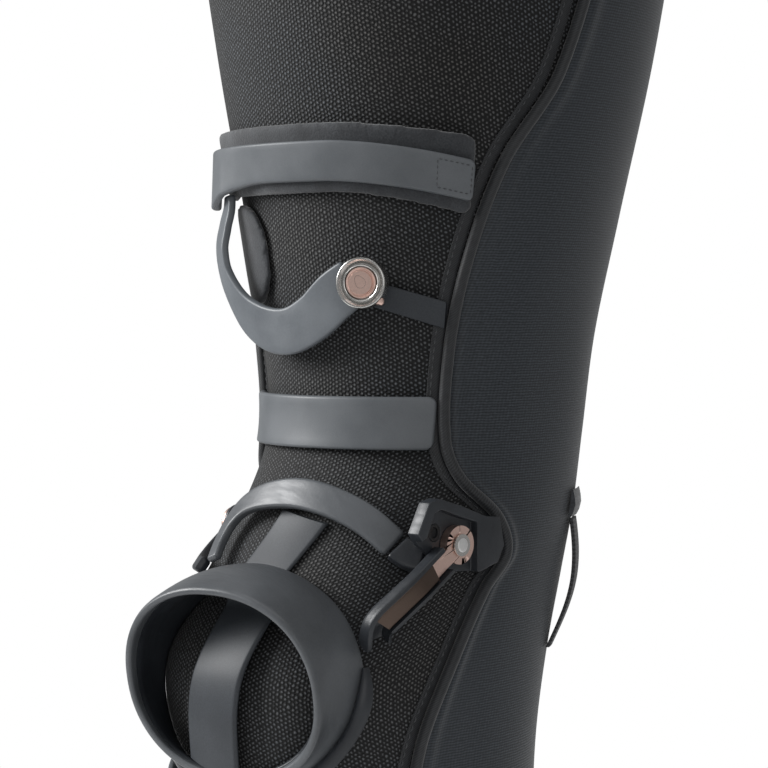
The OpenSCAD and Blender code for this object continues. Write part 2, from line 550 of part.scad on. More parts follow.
// Shin cuff and its pad, below the ring.
function shin_top(phi) = -102 + 12 * (max(0, -phi) / 42) ^ 2;
module shin_cuff_pad() color("#2a2d30")
    band(-44, 52, 14, function (phi) shin_top(phi) - 1.5, function (phi) shin_top(phi) - 22,
        function (phi) seat, function (phi) seat + 3, 1);
module shin_cuff() color("#565c62")
    band(-45, 50, 14, function (phi) shin_top(phi), function (phi) shin_top(phi) - 18,
        function (phi) seat + 3 + seam_gap, function (phi) seat + 6.2);

// Thin ribbed insert over the crease behind the knee.
insert_z = -20;
insert_h = 56;
module popliteal_insert() color("#1c1e20")
    band(180 - 22, 180 + 22, 8,
        function (phi) insert_z + insert_h * sqrt(max(0.08, 1 - ((phi - 180) / 23) ^ 2)),
        function (phi) insert_z - insert_h * sqrt(max(0.08, 1 - ((phi - 180) / 23) ^ 2)),
        function (phi) neoprene_proud + seat, function (phi) neoprene_proud + seat + 1.4, 0.3, 6);
// Pull loop: a narrow strap that bows off the cloth between its sewn ends.
module pull_loop() color("#1c1e20")
    skin([for (i = [0 : 12])
        let (t = i / 12, z = mix(-47, 3, t), d = neoprene_proud + seat + 5.4 * sin(180 * t))
        [for (q = [[148, 1.4], [141, 1.6], [134, 1.4], [134, 0], [141, 0], [148, 0]])
            leg_pt(q[0], z, d + q[1])]]);
// Small folded tab sewn to the cloth behind the knee, on the lateral side.
module pull_tab() color("#4a4f55")
    skin([for (i = [0 : 3])
        let (phi = 131 + 5 * i)
        [leg_pt(phi, 4, neoprene_proud + 2.4), leg_pt(phi, 9, neoprene_proud + 3.4),
            leg_pt(phi, 15, neoprene_proud + 1.6), leg_pt(phi, 15, neoprene_proud + seat),
            leg_pt(phi, 9, neoprene_proud + seat), leg_pt(phi, 4, neoprene_proud + seat)]]);

thigh_knit_panel();
thigh_back_panel();
thigh_hem();
thigh_piping_lateral();
thigh_piping_medial();
cuff_pad();
cuff_strap();
middle_band();
arm_pad();
rivet_strap();
rivet_post();
swing_arm();
rivet_cup();
rivet_screw();
patella_arch();
arch_cap_lateral();
arch_cap_medial();
arch_strap();
hinge_bracket_lateral();
hinge_bracket_medial();
bracket_pad_lateral();
bracket_pad_medial();
hinge_socket_lateral();
hinge_socket_medial();
hinge_pin_lateral();
hinge_pin_medial();
knee_gusset_knit();
knee_gusset_back();
knee_piping_lateral();
knee_piping_medial();
popliteal_insert();
pull_loop();
pull_tab();
shin_knit_panel();
shin_back_panel();
shin_hem();
shin_piping_lateral();
shin_piping_medial();
shin_cuff_pad();
shin_cuff();
patella_ring();
ring_flange();
patella_strap();
knuckle_lateral();
knuckle_medial();
link_arm_lateral();
link_arm_medial();
link_rod_lateral();
link_rod_medial();
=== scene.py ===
import bmesh
import bpy
import numpy as np
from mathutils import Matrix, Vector


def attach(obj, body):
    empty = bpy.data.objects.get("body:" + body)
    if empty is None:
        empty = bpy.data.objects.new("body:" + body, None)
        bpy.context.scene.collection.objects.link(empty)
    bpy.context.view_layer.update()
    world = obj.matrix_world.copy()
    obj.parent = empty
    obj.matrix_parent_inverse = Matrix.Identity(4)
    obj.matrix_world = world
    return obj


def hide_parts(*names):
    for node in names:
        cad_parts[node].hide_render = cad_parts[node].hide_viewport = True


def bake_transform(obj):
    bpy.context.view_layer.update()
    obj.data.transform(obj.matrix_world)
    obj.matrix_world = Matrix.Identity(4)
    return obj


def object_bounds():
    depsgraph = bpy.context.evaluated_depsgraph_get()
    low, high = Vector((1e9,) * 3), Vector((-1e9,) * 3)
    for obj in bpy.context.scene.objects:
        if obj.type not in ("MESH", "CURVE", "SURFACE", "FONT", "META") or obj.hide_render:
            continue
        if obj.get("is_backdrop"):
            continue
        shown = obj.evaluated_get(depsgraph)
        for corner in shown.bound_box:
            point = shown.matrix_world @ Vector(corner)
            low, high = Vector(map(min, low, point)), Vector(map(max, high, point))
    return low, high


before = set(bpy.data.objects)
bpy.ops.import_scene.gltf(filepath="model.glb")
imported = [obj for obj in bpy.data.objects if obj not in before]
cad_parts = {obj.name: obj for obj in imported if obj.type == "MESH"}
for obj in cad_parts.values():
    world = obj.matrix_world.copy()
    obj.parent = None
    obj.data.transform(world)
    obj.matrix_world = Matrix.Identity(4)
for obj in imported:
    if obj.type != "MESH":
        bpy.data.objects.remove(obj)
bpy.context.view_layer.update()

# ---------------------------------------------------------------- Knit front
# The front of the sleeve is one cut of dark stretch knit, laminated to a thin foam, that runs
# from the thigh hem to the calf hem. It is sewn to the back along both side seams.
# Everything is worked out in millimetres on the leg inside it, and put in the mesh in metres.
leg_rows = np.array([  # height, centre's y, half width, front depth, back depth, front squareness
    [-215, 26, 56, 56, 56, 2], [-167.7, 24, 56.9, 60, 63, 2.1], [-122.55, 20, 58, 70, 68, 2.3],
    [-83, 17, 59, 77, 74, 2.6], [-48, 19, 59.5, 82, 80, 2.8], [-18, 27, 59, 73, 81, 2.5],
    [7, 36, 58.5, 65, 79, 2.2], [37, 43, 58, 59, 78, 2], [77, 46, 62, 63, 80, 2],
    [122.2, 49, 70.91, 71.96, 86, 2], [176.955, 52, 82.13, 84.12, 93.95, 2],
    [235, 56, 95, 95, 95, 2]])
seam_rows = np.array([  # height, direction of the outer seam from the front in degrees
    [-215, 58], [-120, 57], [-75, 62], [-43, 73], [-18, 82], [-6, 89], [8, 81], [23, 63],
    [38, 55.5], [70, 54.5], [105, 58], [142, 66], [175, 79], [235, 85]])


def along(rows, z):
    """Values at height z on cubic curves through the rows, with each row's slope taken from
    its two neighbours."""
    z = np.clip(np.asarray(z, float), rows[0, 0], rows[-1, 0])
    i = np.clip(np.searchsorted(rows[:, 0], z, side="right") - 1, 0, len(rows) - 2)
    a, b, c, d = (rows[np.clip(i + k, 0, len(rows) - 1)] for k in (-1, 0, 1, 2))
    h = c[..., :1] - b[..., :1]
    t = (z[..., None] - b[..., :1]) / h
    slope_b = (c - a) / (c[..., :1] - a[..., :1]) * h
    slope_c = (d - b) / (d[..., :1] - b[..., :1]) * h
    out = ((2 * t**3 - 3 * t**2 + 1) * b + (t**3 - 2 * t**2 + t) * slope_b
           + (3 * t**2 - 2 * t**3) * c + (t**3 - t**2) * slope_c)
    return np.moveaxis(out[..., 1:], -1, 0)


def leg(phi, z, d=0.0):
    """Point of the leg at direction phi (0 front, 90 outer side) and height z, d outside the
    knit. A level cut is a squared oval, r = ((|sin|/a)^n + (|cos|/b)^n)^(-1/n) + d."""
    phi, z, d = np.broadcast_arrays(np.radians(phi), np.asarray(z, float), d)
    yc, a, b_front, b_back, n = along(leg_rows, z)
    s, c = np.sin(phi), np.cos(phi)
    n, b = np.where(c >= 0, n, 2), np.where(c >= 0, b_front, b_back)
    r = (np.abs(s / a) ** n + np.abs(c / b) ** n) ** (-1 / n) + d
    return np.stack([r * s, yc - r * c, z], -1)


def loop_lengths(rings):
    """Cloth coordinates in metres: length run along the rings, and length run round each."""
    u = np.cumsum(np.linalg.norm(np.diff(rings, axis=0, prepend=rings[:1]), axis=-1), 0)
    v = np.cumsum(np.linalg.norm(np.diff(rings, axis=1, prepend=rings[:, :1]), axis=-1), 1)
    return np.stack([u, v], -1) / 1000


def skin(name, rings, uv=None, closed=False, sharp=50):
    """Closed mesh through rings of points. Each ring is one side's points and then the other
    side's, back again, so that its ends close with a strip between the two sides."""
    n, k = rings.shape[:2]
    i, j = np.arange(n if closed else n - 1)[:, None], np.arange(k)[None]
    quads = np.stack([i * k + j, i * k + (j + 1) % k, (i + 1) % n * k + (j + 1) % k,
                      (i + 1) % n * k + j], -1).reshape(-1, 4)
    if not closed:
        j = np.arange(k // 2 - 1)
        cap = np.stack([j, k - 1 - j, k - 2 - j, j + 1], -1)
        quads = np.concatenate([quads, cap, (n - 1) * k + cap[:, ::-1]])
    uv = (loop_lengths(rings) if uv is None else uv).reshape(-1, 2)
    return solid(name, rings.reshape(-1, 3), quads, uv, sharp)


def solid(name, points, quads, uv=None, sharp=50):
    """Mesh object of these points and four-cornered faces, turned outwards if the volume that
    they hold (a sixth of the sum of each corner triple's product) comes out negative."""
    a, b, c, d = (points[quads[:, q]] for q in range(4))
    volume = (np.cross(a, b) * c).sum() + (np.cross(a, c) * d).sum()
    if volume < 0:
        quads = quads[:, ::-1]
    mesh = bpy.data.meshes.new(name)
    mesh.vertices.add(len(points))
    mesh.vertices.foreach_set("co", (points / 1000).astype(np.float32).ravel())
    mesh.loops.add(quads.size)
    mesh.loops.foreach_set("vertex_index", quads.ravel().astype(np.int32))
    mesh.polygons.add(len(quads))
    mesh.polygons.foreach_set("loop_start", np.arange(0, quads.size, 4, dtype=np.int32))
    mesh.update(calc_edges=True)
    if uv is not None:
        layer = mesh.uv_layers.new(name="cloth")
        layer.data.foreach_set("uv", uv[quads.ravel()].astype(np.float32).ravel())
    mesh.polygons.foreach_set("use_smooth", np.ones(len(quads), bool))
    piece = bpy.data.objects.new(name, mesh)
    bpy.context.scene.collection.objects.link(piece)
    tidy(piece, sharp)
    return piece


def tidy(piece, sharp=50):
    """Merges points that meet, drops faces with no area, and marks hard edges."""
    work = bmesh.new()
    work.from_mesh(piece.data)
    bmesh.ops.remove_doubles(work, verts=work.verts, dist=2e-6)
    bmesh.ops.dissolve_degenerate(work, edges=work.edges, dist=1e-6)
    work.to_mesh(piece.data)
    work.free()
    piece.data.set_sharp_from_angle(angle=np.radians(sharp))


def material(name, **values):
    """New material; numbers and colours go straight on its shader's own sockets."""
    made = bpy.data.materials.new(name)
    made.use_nodes = True
    shader = made.node_tree.nodes["Principled BSDF"]
    for key, value in values.items():
        shader.inputs[key.replace("_", " ")].default_value = value
    return made, made.node_tree, shader


def node(tree, kind, inputs=(), out=0, **settings):
    """Adds a node, sets or links its inputs by place or name, and gives one of its outputs."""
    made = tree.nodes.new("ShaderNode" + kind)
    for key, value in settings.items():
        setattr(made, key, value)
    for key, value in inputs.items() if isinstance(inputs, dict) else enumerate(inputs):
        if isinstance(value, bpy.types.NodeSocket):
            tree.links.new(value, made.inputs[key])
        else:
            made.inputs[key].default_value = value
    return made.outputs[out]


def ramp(tree, value, *stops):
    """Colour read from a value by stops of place and (red, green, blue)."""
    made = tree.nodes.new("ShaderNodeValToRGB")
    marks = made.color_ramp.elements
    for k, (place, colour) in enumerate(stops):
        mark = marks[k] if k < 2 else marks.new(place)
        mark.position, mark.color = place, (*colour, 1)
    tree.links.new(value, made.inputs[0])
    return made.outputs[0]


def noise(tree, place, scale, detail):
    """Soft noise from 0 to 1 at this many cells per metre."""
    return node(tree, "TexNoise", {"Vector": place, "Scale": scale, "Detail": detail})


def times(tree, a, b):
    """One value times another."""
    return node(tree, "Math", [a, b], operation="MULTIPLY")


def plus(tree, a, b, share):
    """One value plus a share of another."""
    return node(tree, "Math", [a, times(tree, b, share)], operation="ADD")


def paint(tree, shader, value, *stops):
    """Links the colour read from a value to the shader."""
    tree.links.new(ramp(tree, value, *stops), shader.inputs["Base Color"])


def bump(tree, shader, strength, distance, height):
    """Links a bump to the shader's normal; its distance is in metres."""
    made = node(tree, "Bump", {"Strength": strength, "Distance": distance, "Height": height})
    tree.links.new(made, shader.inputs["Normal"])


def wave(tree, place, way):
    """Sine of the place along a way, whose length is its turns in radians per metre."""
    turned = node(tree, "VectorMath", [place, way], out=1, operation="DOT_PRODUCT")
    return node(tree, "Math", [turned], operation="SINE")


def cloth_place(tree, wobble, wobble_scale):
    """Cloth coordinates, moved a little by soft noise so that no row runs dead straight."""
    place = node(tree, "UVMap", uv_map="cloth")
    drift = node(tree, "TexNoise", {"Vector": place, "Scale": wobble_scale, "Detail": 1.0}, out=1)
    shift = node(tree, "VectorMath", [drift, (0.5, 0.5, 0.5)], operation="SUBTRACT")
    shift = node(tree, "VectorMath", {0: shift, "Scale": wobble}, operation="SCALE")
    return node(tree, "VectorMath", [place, shift], operation="ADD"), place


def knots(tree, place, pitch):
    """Round knots in staggered rows: the sum of three cosines at 60 degrees, from 0 to 1."""
    total = None
    for turn in (0, 60, 120):
        k = 2 * np.pi / (pitch * 0.866)
        way = (k * np.cos(np.radians(turn)), k * np.sin(np.radians(turn)), 0)
        turned = node(tree, "VectorMath", [place, way], out=1, operation="DOT_PRODUCT")
        row = node(tree, "Math", [turned], operation="COSINE")
        total = row if total is None else node(tree, "Math", [total, row], operation="ADD")
    return node(tree, "MapRange", {"Value": total, "From Min": -1.5, "From Max": 3.0})


knit, tree, shader = material("dark_stretch_knit", Roughness=0.72, Sheen_Weight=0.08,
                              Sheen_Roughness=0.5, Specular_IOR_Level=0.35)
place, flat = cloth_place(tree, 0.0016, 260)
knot = knots(tree, place, 0.00172)
speck = noise(tree, flat, 520.0, 2.0)
knot_lit = node(tree, "Math", [knot, node(tree, "MapRange", {
    "Value": speck, "From Min": 0.3, "From Max": 0.72, "To Min": 0.55, "To Max": 1.15})],
    operation="MULTIPLY")
yarn = ramp(tree, knot_lit, (0.1, (0.0022, 0.0023, 0.0026)), (0.38, (0.012, 0.0125, 0.0135)),
            (0.75, (0.115, 0.117, 0.121)))
tone = noise(tree, flat, 14.0, 2.0)
tint = ramp(tree, tone, (0.35, (0.86, 0.93, 1.0)), (0.65, (1.0, 0.96, 0.9)))
tree.links.new(node(tree, "Mix", {0: 1.0, 6: yarn, 7: tint}, out=2, data_type="RGBA",
                    blend_type="MULTIPLY"), shader.inputs["Base Color"])
bump(tree, shader, 0.9, 0.00045, knot)

knit_t = 3.0  # knit and its foam
hem_h = 9.0
top_z, bottom_z = 235 - hem_h, -215 + hem_h
seam_gap = 0.3


def panel(name, phi_of, columns, d_out, centre):
    """One cut of cloth: columns from one seam to the other and rows up the leg, with an outer
    face d_out off the leg and an inner face knit_t under it. Its cloth coordinates run from
    the middle column, so that the pattern fans out evenly to both seams."""
    w, z = np.linspace(0, 1, columns)[None], np.linspace(bottom_z, top_z, 260)[:, None]
    phi = phi_of(w, z)
    outer, inner = leg(phi, z, d_out(phi, z)), leg(phi, z, -knit_t)
    run = np.cumsum(np.linalg.norm(np.diff(outer, axis=1, prepend=outer[:, :1]), axis=-1), 1)
    across = run - run[:, columns // 2:columns // 2 + 1]
    line = leg(centre, z[:, 0])
    steps = np.linalg.norm(np.diff(line, axis=0, prepend=line[:1]), axis=-1)
    up = np.cumsum(steps)[:, None] + 0 * across
    uv = np.stack([across, up], -1) / 1000
    return skin(name, np.concatenate([outer, inner[:, ::-1]], 1),
                np.concatenate([uv, uv[:, ::-1]], 1))


def knit_phi(w, z):
    """Direction at a share w of the way from the inner seam to the outer one."""
    return (2 * w - 1) * (along(seam_rows, z)[0] - seam_gap)


knit_front = panel("knit_front", knit_phi, 131, lambda phi, z: 0.0 * phi, 0)
knit_front.data.materials.append(knit)
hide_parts("thigh_knit_panel", "knee_gusset_knit", "shin_knit_panel")
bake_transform(knit_front)

# ---------------------------------------------------------------- Neoprene back
# The back and sides are one cut of neoprene with a fine ribbed satin face. A soft lip stands
# along each front edge, where the seam allowance is folded under.
def back_phi(w, z):
    seam = along(seam_rows, z)[0] + seam_gap
    return seam + (360 - 2 * seam) * w


def lip(phi, z):
    """Face of the neoprene: 0.6 mm proud, with a rounded lip 5 mm in from each seam."""
    turn = np.minimum(phi, 360 - phi) - along(seam_rows, z)[0]
    run = np.radians(turn) * 62
    swell = 0.35 * np.sin(z / 21 + 2) * np.sin(np.radians(phi) * 5) * np.clip(run / 25, 0, 1)
    return 0.6 + 1.5 * np.exp(-((run - 5.2) / 3.0) ** 2) + swell


neoprene, tree, shader = material("ribbed_neoprene", Roughness=0.5, Sheen_Weight=0.22,
                                  Sheen_Roughness=0.4, Specular_IOR_Level=0.4)
place, flat = cloth_place(tree, 0.0006, 300)
rib = wave(tree, place, (0, 2 * np.pi / 0.00105, 0))
cross = wave(tree, place, (2 * np.pi / 0.0016, 0, 0))
weave = plus(tree, rib, cross, 0.35)
weave = node(tree, "MapRange", {"Value": weave, "From Min": -1.35, "From Max": 1.35})
grain = noise(tree, flat, 700.0, 3.0)
mixed = times(tree, weave, grain)
face = ramp(tree, mixed, (0.05, (0.012, 0.0145, 0.018)), (0.5, (0.047, 0.056, 0.067)))
tone = noise(tree, flat, 11.0, 3.0)
tint = ramp(tree, tone, (0.3, (0.82, 0.86, 0.9)), (0.7, (1.0, 1.0, 1.0)))
tree.links.new(node(tree, "Mix", {0: 1.0, 6: face, 7: tint}, out=2, data_type="RGBA",
                    blend_type="MULTIPLY"), shader.inputs["Base Color"])
bump(tree, shader, 0.6, 0.00025, mixed)

neoprene_back = panel("neoprene_back", back_phi, 181, lip, 180)
neoprene_back.data.materials.append(neoprene)
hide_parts("thigh_back_panel", "knee_gusset_back", "shin_back_panel")
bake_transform(neoprene_back)

# ---------------------------------------------------------------- Hems
# Each open end is turned over an elastic and closed with a twin-needle coverstitch, so the
# hem is a soft roll with two sewn grooves round it.
cover_thread, tree, shader = material("cover_thread", Roughness=0.6, Sheen_Weight=0.3)
place = node(tree, "TexCoord", out=3)
twist = node(tree, "TexWave", {"Vector": place, "Scale": 1500.0, "Distortion": 2.0})
paint(tree, shader, twist, (0.0, (0.012, 0.013, 0.015)), (1.0, (0.075, 0.08, 0.088)))
bump(tree, shader, 0.5, 0.0001, twist)

hem_cloth, tree, shader = material("hem_cloth", Roughness=0.75, Sheen_Weight=0.15)
place, flat = cloth_place(tree, 0.0008, 240)
knot = knots(tree, place, 0.0013)
speck = noise(tree, flat, 400.0, 2.0)
knot = times(tree, knot, speck)
paint(tree, shader, knot, (0.05, (0.006, 0.0065, 0.0075)), (0.5, (0.045, 0.048, 0.053)))
bump(tree, shader, 0.7, 0.0003, knot)


def stitches(name, path, out, pitch=3.3, length=2.3, thick=0.26, rise=0.32, owner=None):
    """Sewn thread along a path: every pitch, a short thread that arches out of the cloth.
    Each is five rings of five points, thinner at its two ends."""
    run = np.concatenate([[0], np.cumsum(np.linalg.norm(np.diff(path, axis=0), axis=-1))])
    at = np.arange(pitch / 2, run[-1] - pitch / 2, pitch)[:, None]
    at = at + np.linspace(-0.5, 0.5, 5) * length
    mid = np.stack([np.interp(at, run, path[:, q]) for q in range(3)], -1)
    up = np.stack([np.interp(at, run, out[:, q]) for q in range(3)], -1)
    up /= np.linalg.norm(up, axis=-1, keepdims=True)
    way = mid[:, 4:] - mid[:, :1]
    side = np.cross(up, way / np.linalg.norm(way, axis=-1, keepdims=True))
    mid = mid + up * (np.array([-0.2, 0.6, 1, 0.6, -0.2]) * rise)[:, None]
    a = np.radians(np.arange(5) * 72)[:, None]
    r = (np.array([0.35, 0.85, 1, 0.85, 0.35]) * thick)[:, None, None]
    rings = mid[:, :, None] + r * (side[:, :, None] * np.cos(a) + up[:, :, None] * np.sin(a))
    i, j = np.arange(4)[:, None], np.arange(5)[None]
    k = (j + 1) % 5
    quads = np.stack([i * 5 + j, i * 5 + k, (i + 1) * 5 + k, (i + 1) * 5 + j], -1)
    quads = (quads.reshape(1, -1, 4) + 25 * np.arange(len(at))[:, None, None]).reshape(-1, 4)
    piece = solid(name, rings.reshape(-1, 3), quads, sharp=180)
    piece.data.materials.append(cover_thread)
    return piece


for name, hem_z, hem_y, hem_r, body in (("thigh_hem", 235 - hem_h, 56, 95, "thigh"),
                                        ("shin_hem", -215, 26, 56, "shin")):
    turn = np.radians(np.linspace(0, 360, 181)[:-1])[:, None]
    s = np.radians(np.linspace(90, 450, 41)[:-1])[None]
    # Profile: a flattened roll, hem_h high and 4 mm thick, pinched at the two lines of thread.
    up = np.sign(np.sin(s)) * np.abs(np.sin(s)) ** 0.55 * hem_h / 2
    proud = np.sign(np.cos(s)) * np.abs(np.cos(s)) ** 0.6 * 2.0 - 1.0
    pinch = 0.55 * (np.exp(-((up - 1.6) / 0.5) ** 2) + np.exp(-((up + 2.0) / 0.5) ** 2))
    radius = hem_r + proud - np.where(proud > -1, pinch, 0) + 0.12 * np.sin(turn * 70)
    rings = np.stack([radius * np.sin(turn), hem_y - radius * np.cos(turn),
                      hem_z + hem_h / 2 + up + 0 * turn], -1)
    uv = np.stack([turn * hem_r + 0 * s, np.linspace(0, 22, 40)[None] + 0 * turn], -1) / 1000
    piece = skin(name + "_roll", rings, uv, closed=True)
    piece.data.materials.append(hem_cloth)
    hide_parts(name)
    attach(piece, body)
    for k, row in enumerate((1.6, -2.0)):
        turn = np.radians(np.linspace(0, 360, 400))
        out = np.stack([np.sin(turn), -np.cos(turn), 0 * turn], -1)
        path = out * (hem_r + 0.55) + [0, hem_y, hem_z + hem_h / 2 + row]
        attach(stitches(f"{name}_thread_{k}", path, out), body)

# ---------------------------------------------------------------- Piping
# A corded piping is sewn in each side seam: a bound round cord with a flat tape on the knit
# side, held by one line of thread. It is continuous past the knee.
binding, tree, shader = material("piping_binding", Roughness=0.5, Sheen_Weight=0.25,
                                 Specular_IOR_Level=0.45)
place, flat = cloth_place(tree, 0.0004, 400)
twill = wave(tree, place, (2 * np.pi / 0.0011, 2 * np.pi / 0.0014, 0))
speck = noise(tree, flat, 300.0, 3.0)
twill = node(tree, "MapRange", {"Value": twill, "From Min": -1.0, "From Max": 1.0})
twill = times(tree, twill, speck)
paint(tree, shader, twill, (0.0, (0.004, 0.0045, 0.0055)), (0.6, (0.028, 0.031, 0.036)))
bump(tree, shader, 0.5, 0.0002, twill)


def unit(v):
    """The same direction, one long."""
    return v / np.linalg.norm(v, axis=-1, keepdims=True)


def leg_out(phi, z):
    """Direction straight out of the leg: the cross product of its two slopes."""
    phi, z = np.asarray(phi, float), np.asarray(z, float)
    return unit(np.cross(leg(phi + 1, z) - leg(phi - 1, z), leg(phi, z + 1) - leg(phi, z - 1)))


def frames(path, out):
    """Directions along a path, across it, and out of it, all at right angles."""
    ahead = np.concatenate([path[1:], path[-1:]]) - np.concatenate([path[:1], path[:-1]])
    ahead = unit(ahead)
    out = unit(out - ahead * (out * ahead).sum(-1, keepdims=True))
    return ahead, np.cross(out, ahead), out


def sweep(name, path, out, section, **options):
    """Carries a section of (across, out) points along a path."""
    _, across, out = frames(path, out)
    section = np.broadcast_to(section, (len(path), *section.shape[-2:]))
    rings = (path[:, None] + across[:, None] * section[..., :1] + out[:, None] * section[..., 1:])
    return skin(name, rings, **options)


def rounded(half_w, half_t, corner, arc=5, flat=5):
    """Section of a flat bar with rounded corners: its outer side from left to right, then its
    inner side back. Sizes may change from station to station."""
    w, t, r = (np.asarray(q, float).reshape(-1, 1) for q in np.broadcast_arrays(
        np.atleast_1d(half_w), half_t, corner))
    r = np.minimum(r, np.minimum(w, t) * 0.98)
    a = np.radians(np.linspace(180, 90, arc))[None]
    left = np.stack([-(w - r) + r * np.cos(a), (t - r) + r * np.sin(a)], -1)
    mid = np.linspace(-1, 1, flat + 2)[1:-1][None]
    mid = np.stack([(w - r) * mid, t + 0 * mid], -1)
    outer = np.concatenate([left, mid, left[:, ::-1] * [-1, 1]], 1)
    return np.concatenate([outer, outer[:, ::-1] * [1, -1]], 1)


cord_r = 2.2
seam_z = np.linspace(bottom_z + 0.9, top_z - 0.9, 330)
seam_phi = along(seam_rows, seam_z)[0]
for side, word in ((1, "lateral"), (-1, "medial")):
    path, out = leg(side * seam_phi, seam_z, 0.75 + cord_r), leg_out(side * seam_phi, seam_z)
    cord = sweep("piping_" + word, path, out, rounded(cord_r, cord_r, cord_r, 8, 0))
    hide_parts(*(f"{part}_piping_{word}" for part in ("thigh", "knee", "shin")))
    on_knit = side * (seam_phi - np.degrees(4.3 / 62))
    path, out = leg(on_knit, seam_z, 0.5), leg_out(on_knit, seam_z)
    tape = sweep("piping_tape_" + word, path, out, rounded(2.4, 0.4, 0.35, 3, 3))
    thread = stitches("piping_thread_" + word, leg(on_knit - side * 0.9, seam_z, 0.95), out)
    for piece in (cord, tape, thread):
        if piece is not thread:
            piece.data.materials.append(binding)
        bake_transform(piece)

# ---------------------------------------------------------------- Thigh cuff
# A brushed foam pad lies across the front of the thigh, and a matt silicone-coated elastic
# strap over it, with its far end sewn down near the outer seam in a box of stitches.
silicone, tree, shader = material("matt_silicone_band", Roughness=0.46, Specular_IOR_Level=0.42,
                                  Coat_Weight=0.06, Coat_Roughness=0.35)
place = node(tree, "TexCoord", out=3)
cloud = noise(tree, place, 45.0, 4.0)
grain = noise(tree, place, 2600.0, 2.0)
both = plus(tree, cloud, grain, 0.35)
paint(tree, shader, both, (0.45, (0.098, 0.108, 0.118)), (0.85, (0.142, 0.153, 0.165)))
rough = node(tree, "MapRange", {"Value": cloud, "From Min": 0.3, "From Max": 0.7, "To Min": 0.4,
                                "To Max": 0.54})
tree.links.new(rough, shader.inputs["Roughness"])
bump(tree, shader, 0.35, 0.00012, grain)

brushed, tree, shader = material("brushed_pad_cover", Roughness=0.8, Sheen_Weight=0.45,
                                 Sheen_Roughness=0.45)
place = node(tree, "TexCoord", out=3)
nap = noise(tree, place, 1500.0, 3.0)
cloud = noise(tree, place, 90.0, 3.0)
both = times(tree, nap, cloud)
paint(tree, shader, both, (0.12, (0.022, 0.024, 0.028)), (0.42, (0.058, 0.063, 0.07)))
bump(tree, shader, 0.6, 0.0003, nap)


def band(name, phi, middle, half, d_in, thick, corner=0.9, end_r=2.0, tilt=0.0):
    """Flat band round the leg, from the first to the last direction. Its half height shrinks
    at both ends as a quarter circle of end_r, half - end_r + sqrt(end_r^2 - (end_r - s)^2), and
    its lower edge stands tilt further out than its upper one."""
    run = np.cumsum(np.linalg.norm(np.diff(leg(phi, middle), axis=0, prepend=leg(phi, middle)[:1]),
                                   axis=-1))
    s = np.minimum(run, run[-1] - run)
    left = np.clip(end_r - s, 0, None)
    half = half - end_r + np.sqrt(np.maximum(end_r**2 - left**2, 0.04))
    thin = np.sqrt(np.maximum(1 - (np.clip(corner - s, 0, None) / corner) ** 2, 0.02))
    section = rounded(half, thick / 2 * thin, corner, 5, 7)
    lean = (tilt + 0 * phi)[:, None] * (0.5 - section[..., 0] / (2 * half[:, None]))
    rings = leg(phi[:, None], middle[:, None] + section[..., 0],
                (d_in + thick / 2)[:, None] + section[..., 1] + lean)
    return skin(name, rings)


def spread(first, last, count):
    """Directions from first to last, closer together near both ends."""
    t = np.linspace(0, 1, count)
    return first + (last - first) * (t - 0.9 * np.sin(2 * np.pi * t) / (2 * np.pi))


def evaluated(piece):
    """A new mesh of the piece with its modifiers worked out."""
    return bpy.data.meshes.new_from_object(
        piece.evaluated_get(bpy.context.evaluated_depsgraph_get()))


def plump(piece, voxel, pressure, reach):
    """Fills a pad by cloth simulation: remeshed evenly, blown up under pressure without gravity
    for 20 frames, with no point moved further than reach, then smoothed once."""
    scene, layer = bpy.context.scene, bpy.context.view_layer
    even = piece.modifiers.new("even", "REMESH")
    even.mode, even.voxel_size = "VOXEL", voxel / 1000
    scene.frame_set(1)
    mesh = bpy.data.meshes.new_from_object(piece.evaluated_get(layer.depsgraph))
    piece.modifiers.clear()
    piece.data = mesh
    rest = np.empty(len(mesh.vertices) * 3)
    mesh.vertices.foreach_get("co", rest)
    cloth = piece.modifiers.new("fill", "CLOTH")
    cloth.settings.use_pressure = True
    cloth.settings.uniform_pressure_force = pressure
    cloth.settings.effector_weights.gravity = 0
    cloth.settings.quality = 6
    for frame_number in range(1, 21):
        scene.frame_set(frame_number)
    full = evaluated(piece)
    blown = np.empty(len(full.vertices) * 3)
    full.vertices.foreach_get("co", blown)
    move = (blown - rest).reshape(-1, 3)
    far = np.linalg.norm(move, axis=1, keepdims=True)
    move *= np.minimum(1, reach / 1000 / np.maximum(far, 1e-9))
    mesh.vertices.foreach_set("co", (rest.reshape(-1, 3) + move).ravel())
    piece.modifiers.clear()
    scene.frame_set(1)
    piece.modifiers.new("smooth", "SUBSURF").levels = 1
    layer.update()
    smooth = evaluated(piece)
    piece.modifiers.clear()
    piece.data = smooth
    smooth.polygons.foreach_set("use_smooth", np.ones(len(smooth.polygons), bool))


cuff_z, cuff_w, cuff_t, cuff_pad_w, cuff_pad_t, arm_off, seat = 142, 15, 3.2, 30, 4.2, 11, 0.5
cuff_in = seat + cuff_pad_t + 0.3


def cuff_dip(phi):
    """How far the cuff falls towards its outer end."""
    return -8 * (np.clip(phi - 17, 0, None) / 40) ** 1.6


phi = spread(-52.6, 57.6, 110)
pad_top = cuff_z + cuff_pad_w / 2 + cuff_dip(phi) * 0.7
pad_low = cuff_z - cuff_pad_w / 2 + 3 + cuff_dip(phi) * 1.1
cuff_pad = band("cuff_pad_foam", phi, (pad_top + pad_low) / 2, (pad_top - pad_low) / 2 - 0.3,
                seat + 0.35 + 0 * phi, cuff_pad_t - 0.6, corner=1.7, end_r=4)
plump(cuff_pad, 1.5, 4.0, 0.45)
cuff_pad.data.materials.clear()
cuff_pad.data.materials.append(brushed)
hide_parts("cuff_pad")
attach(cuff_pad, "thigh")

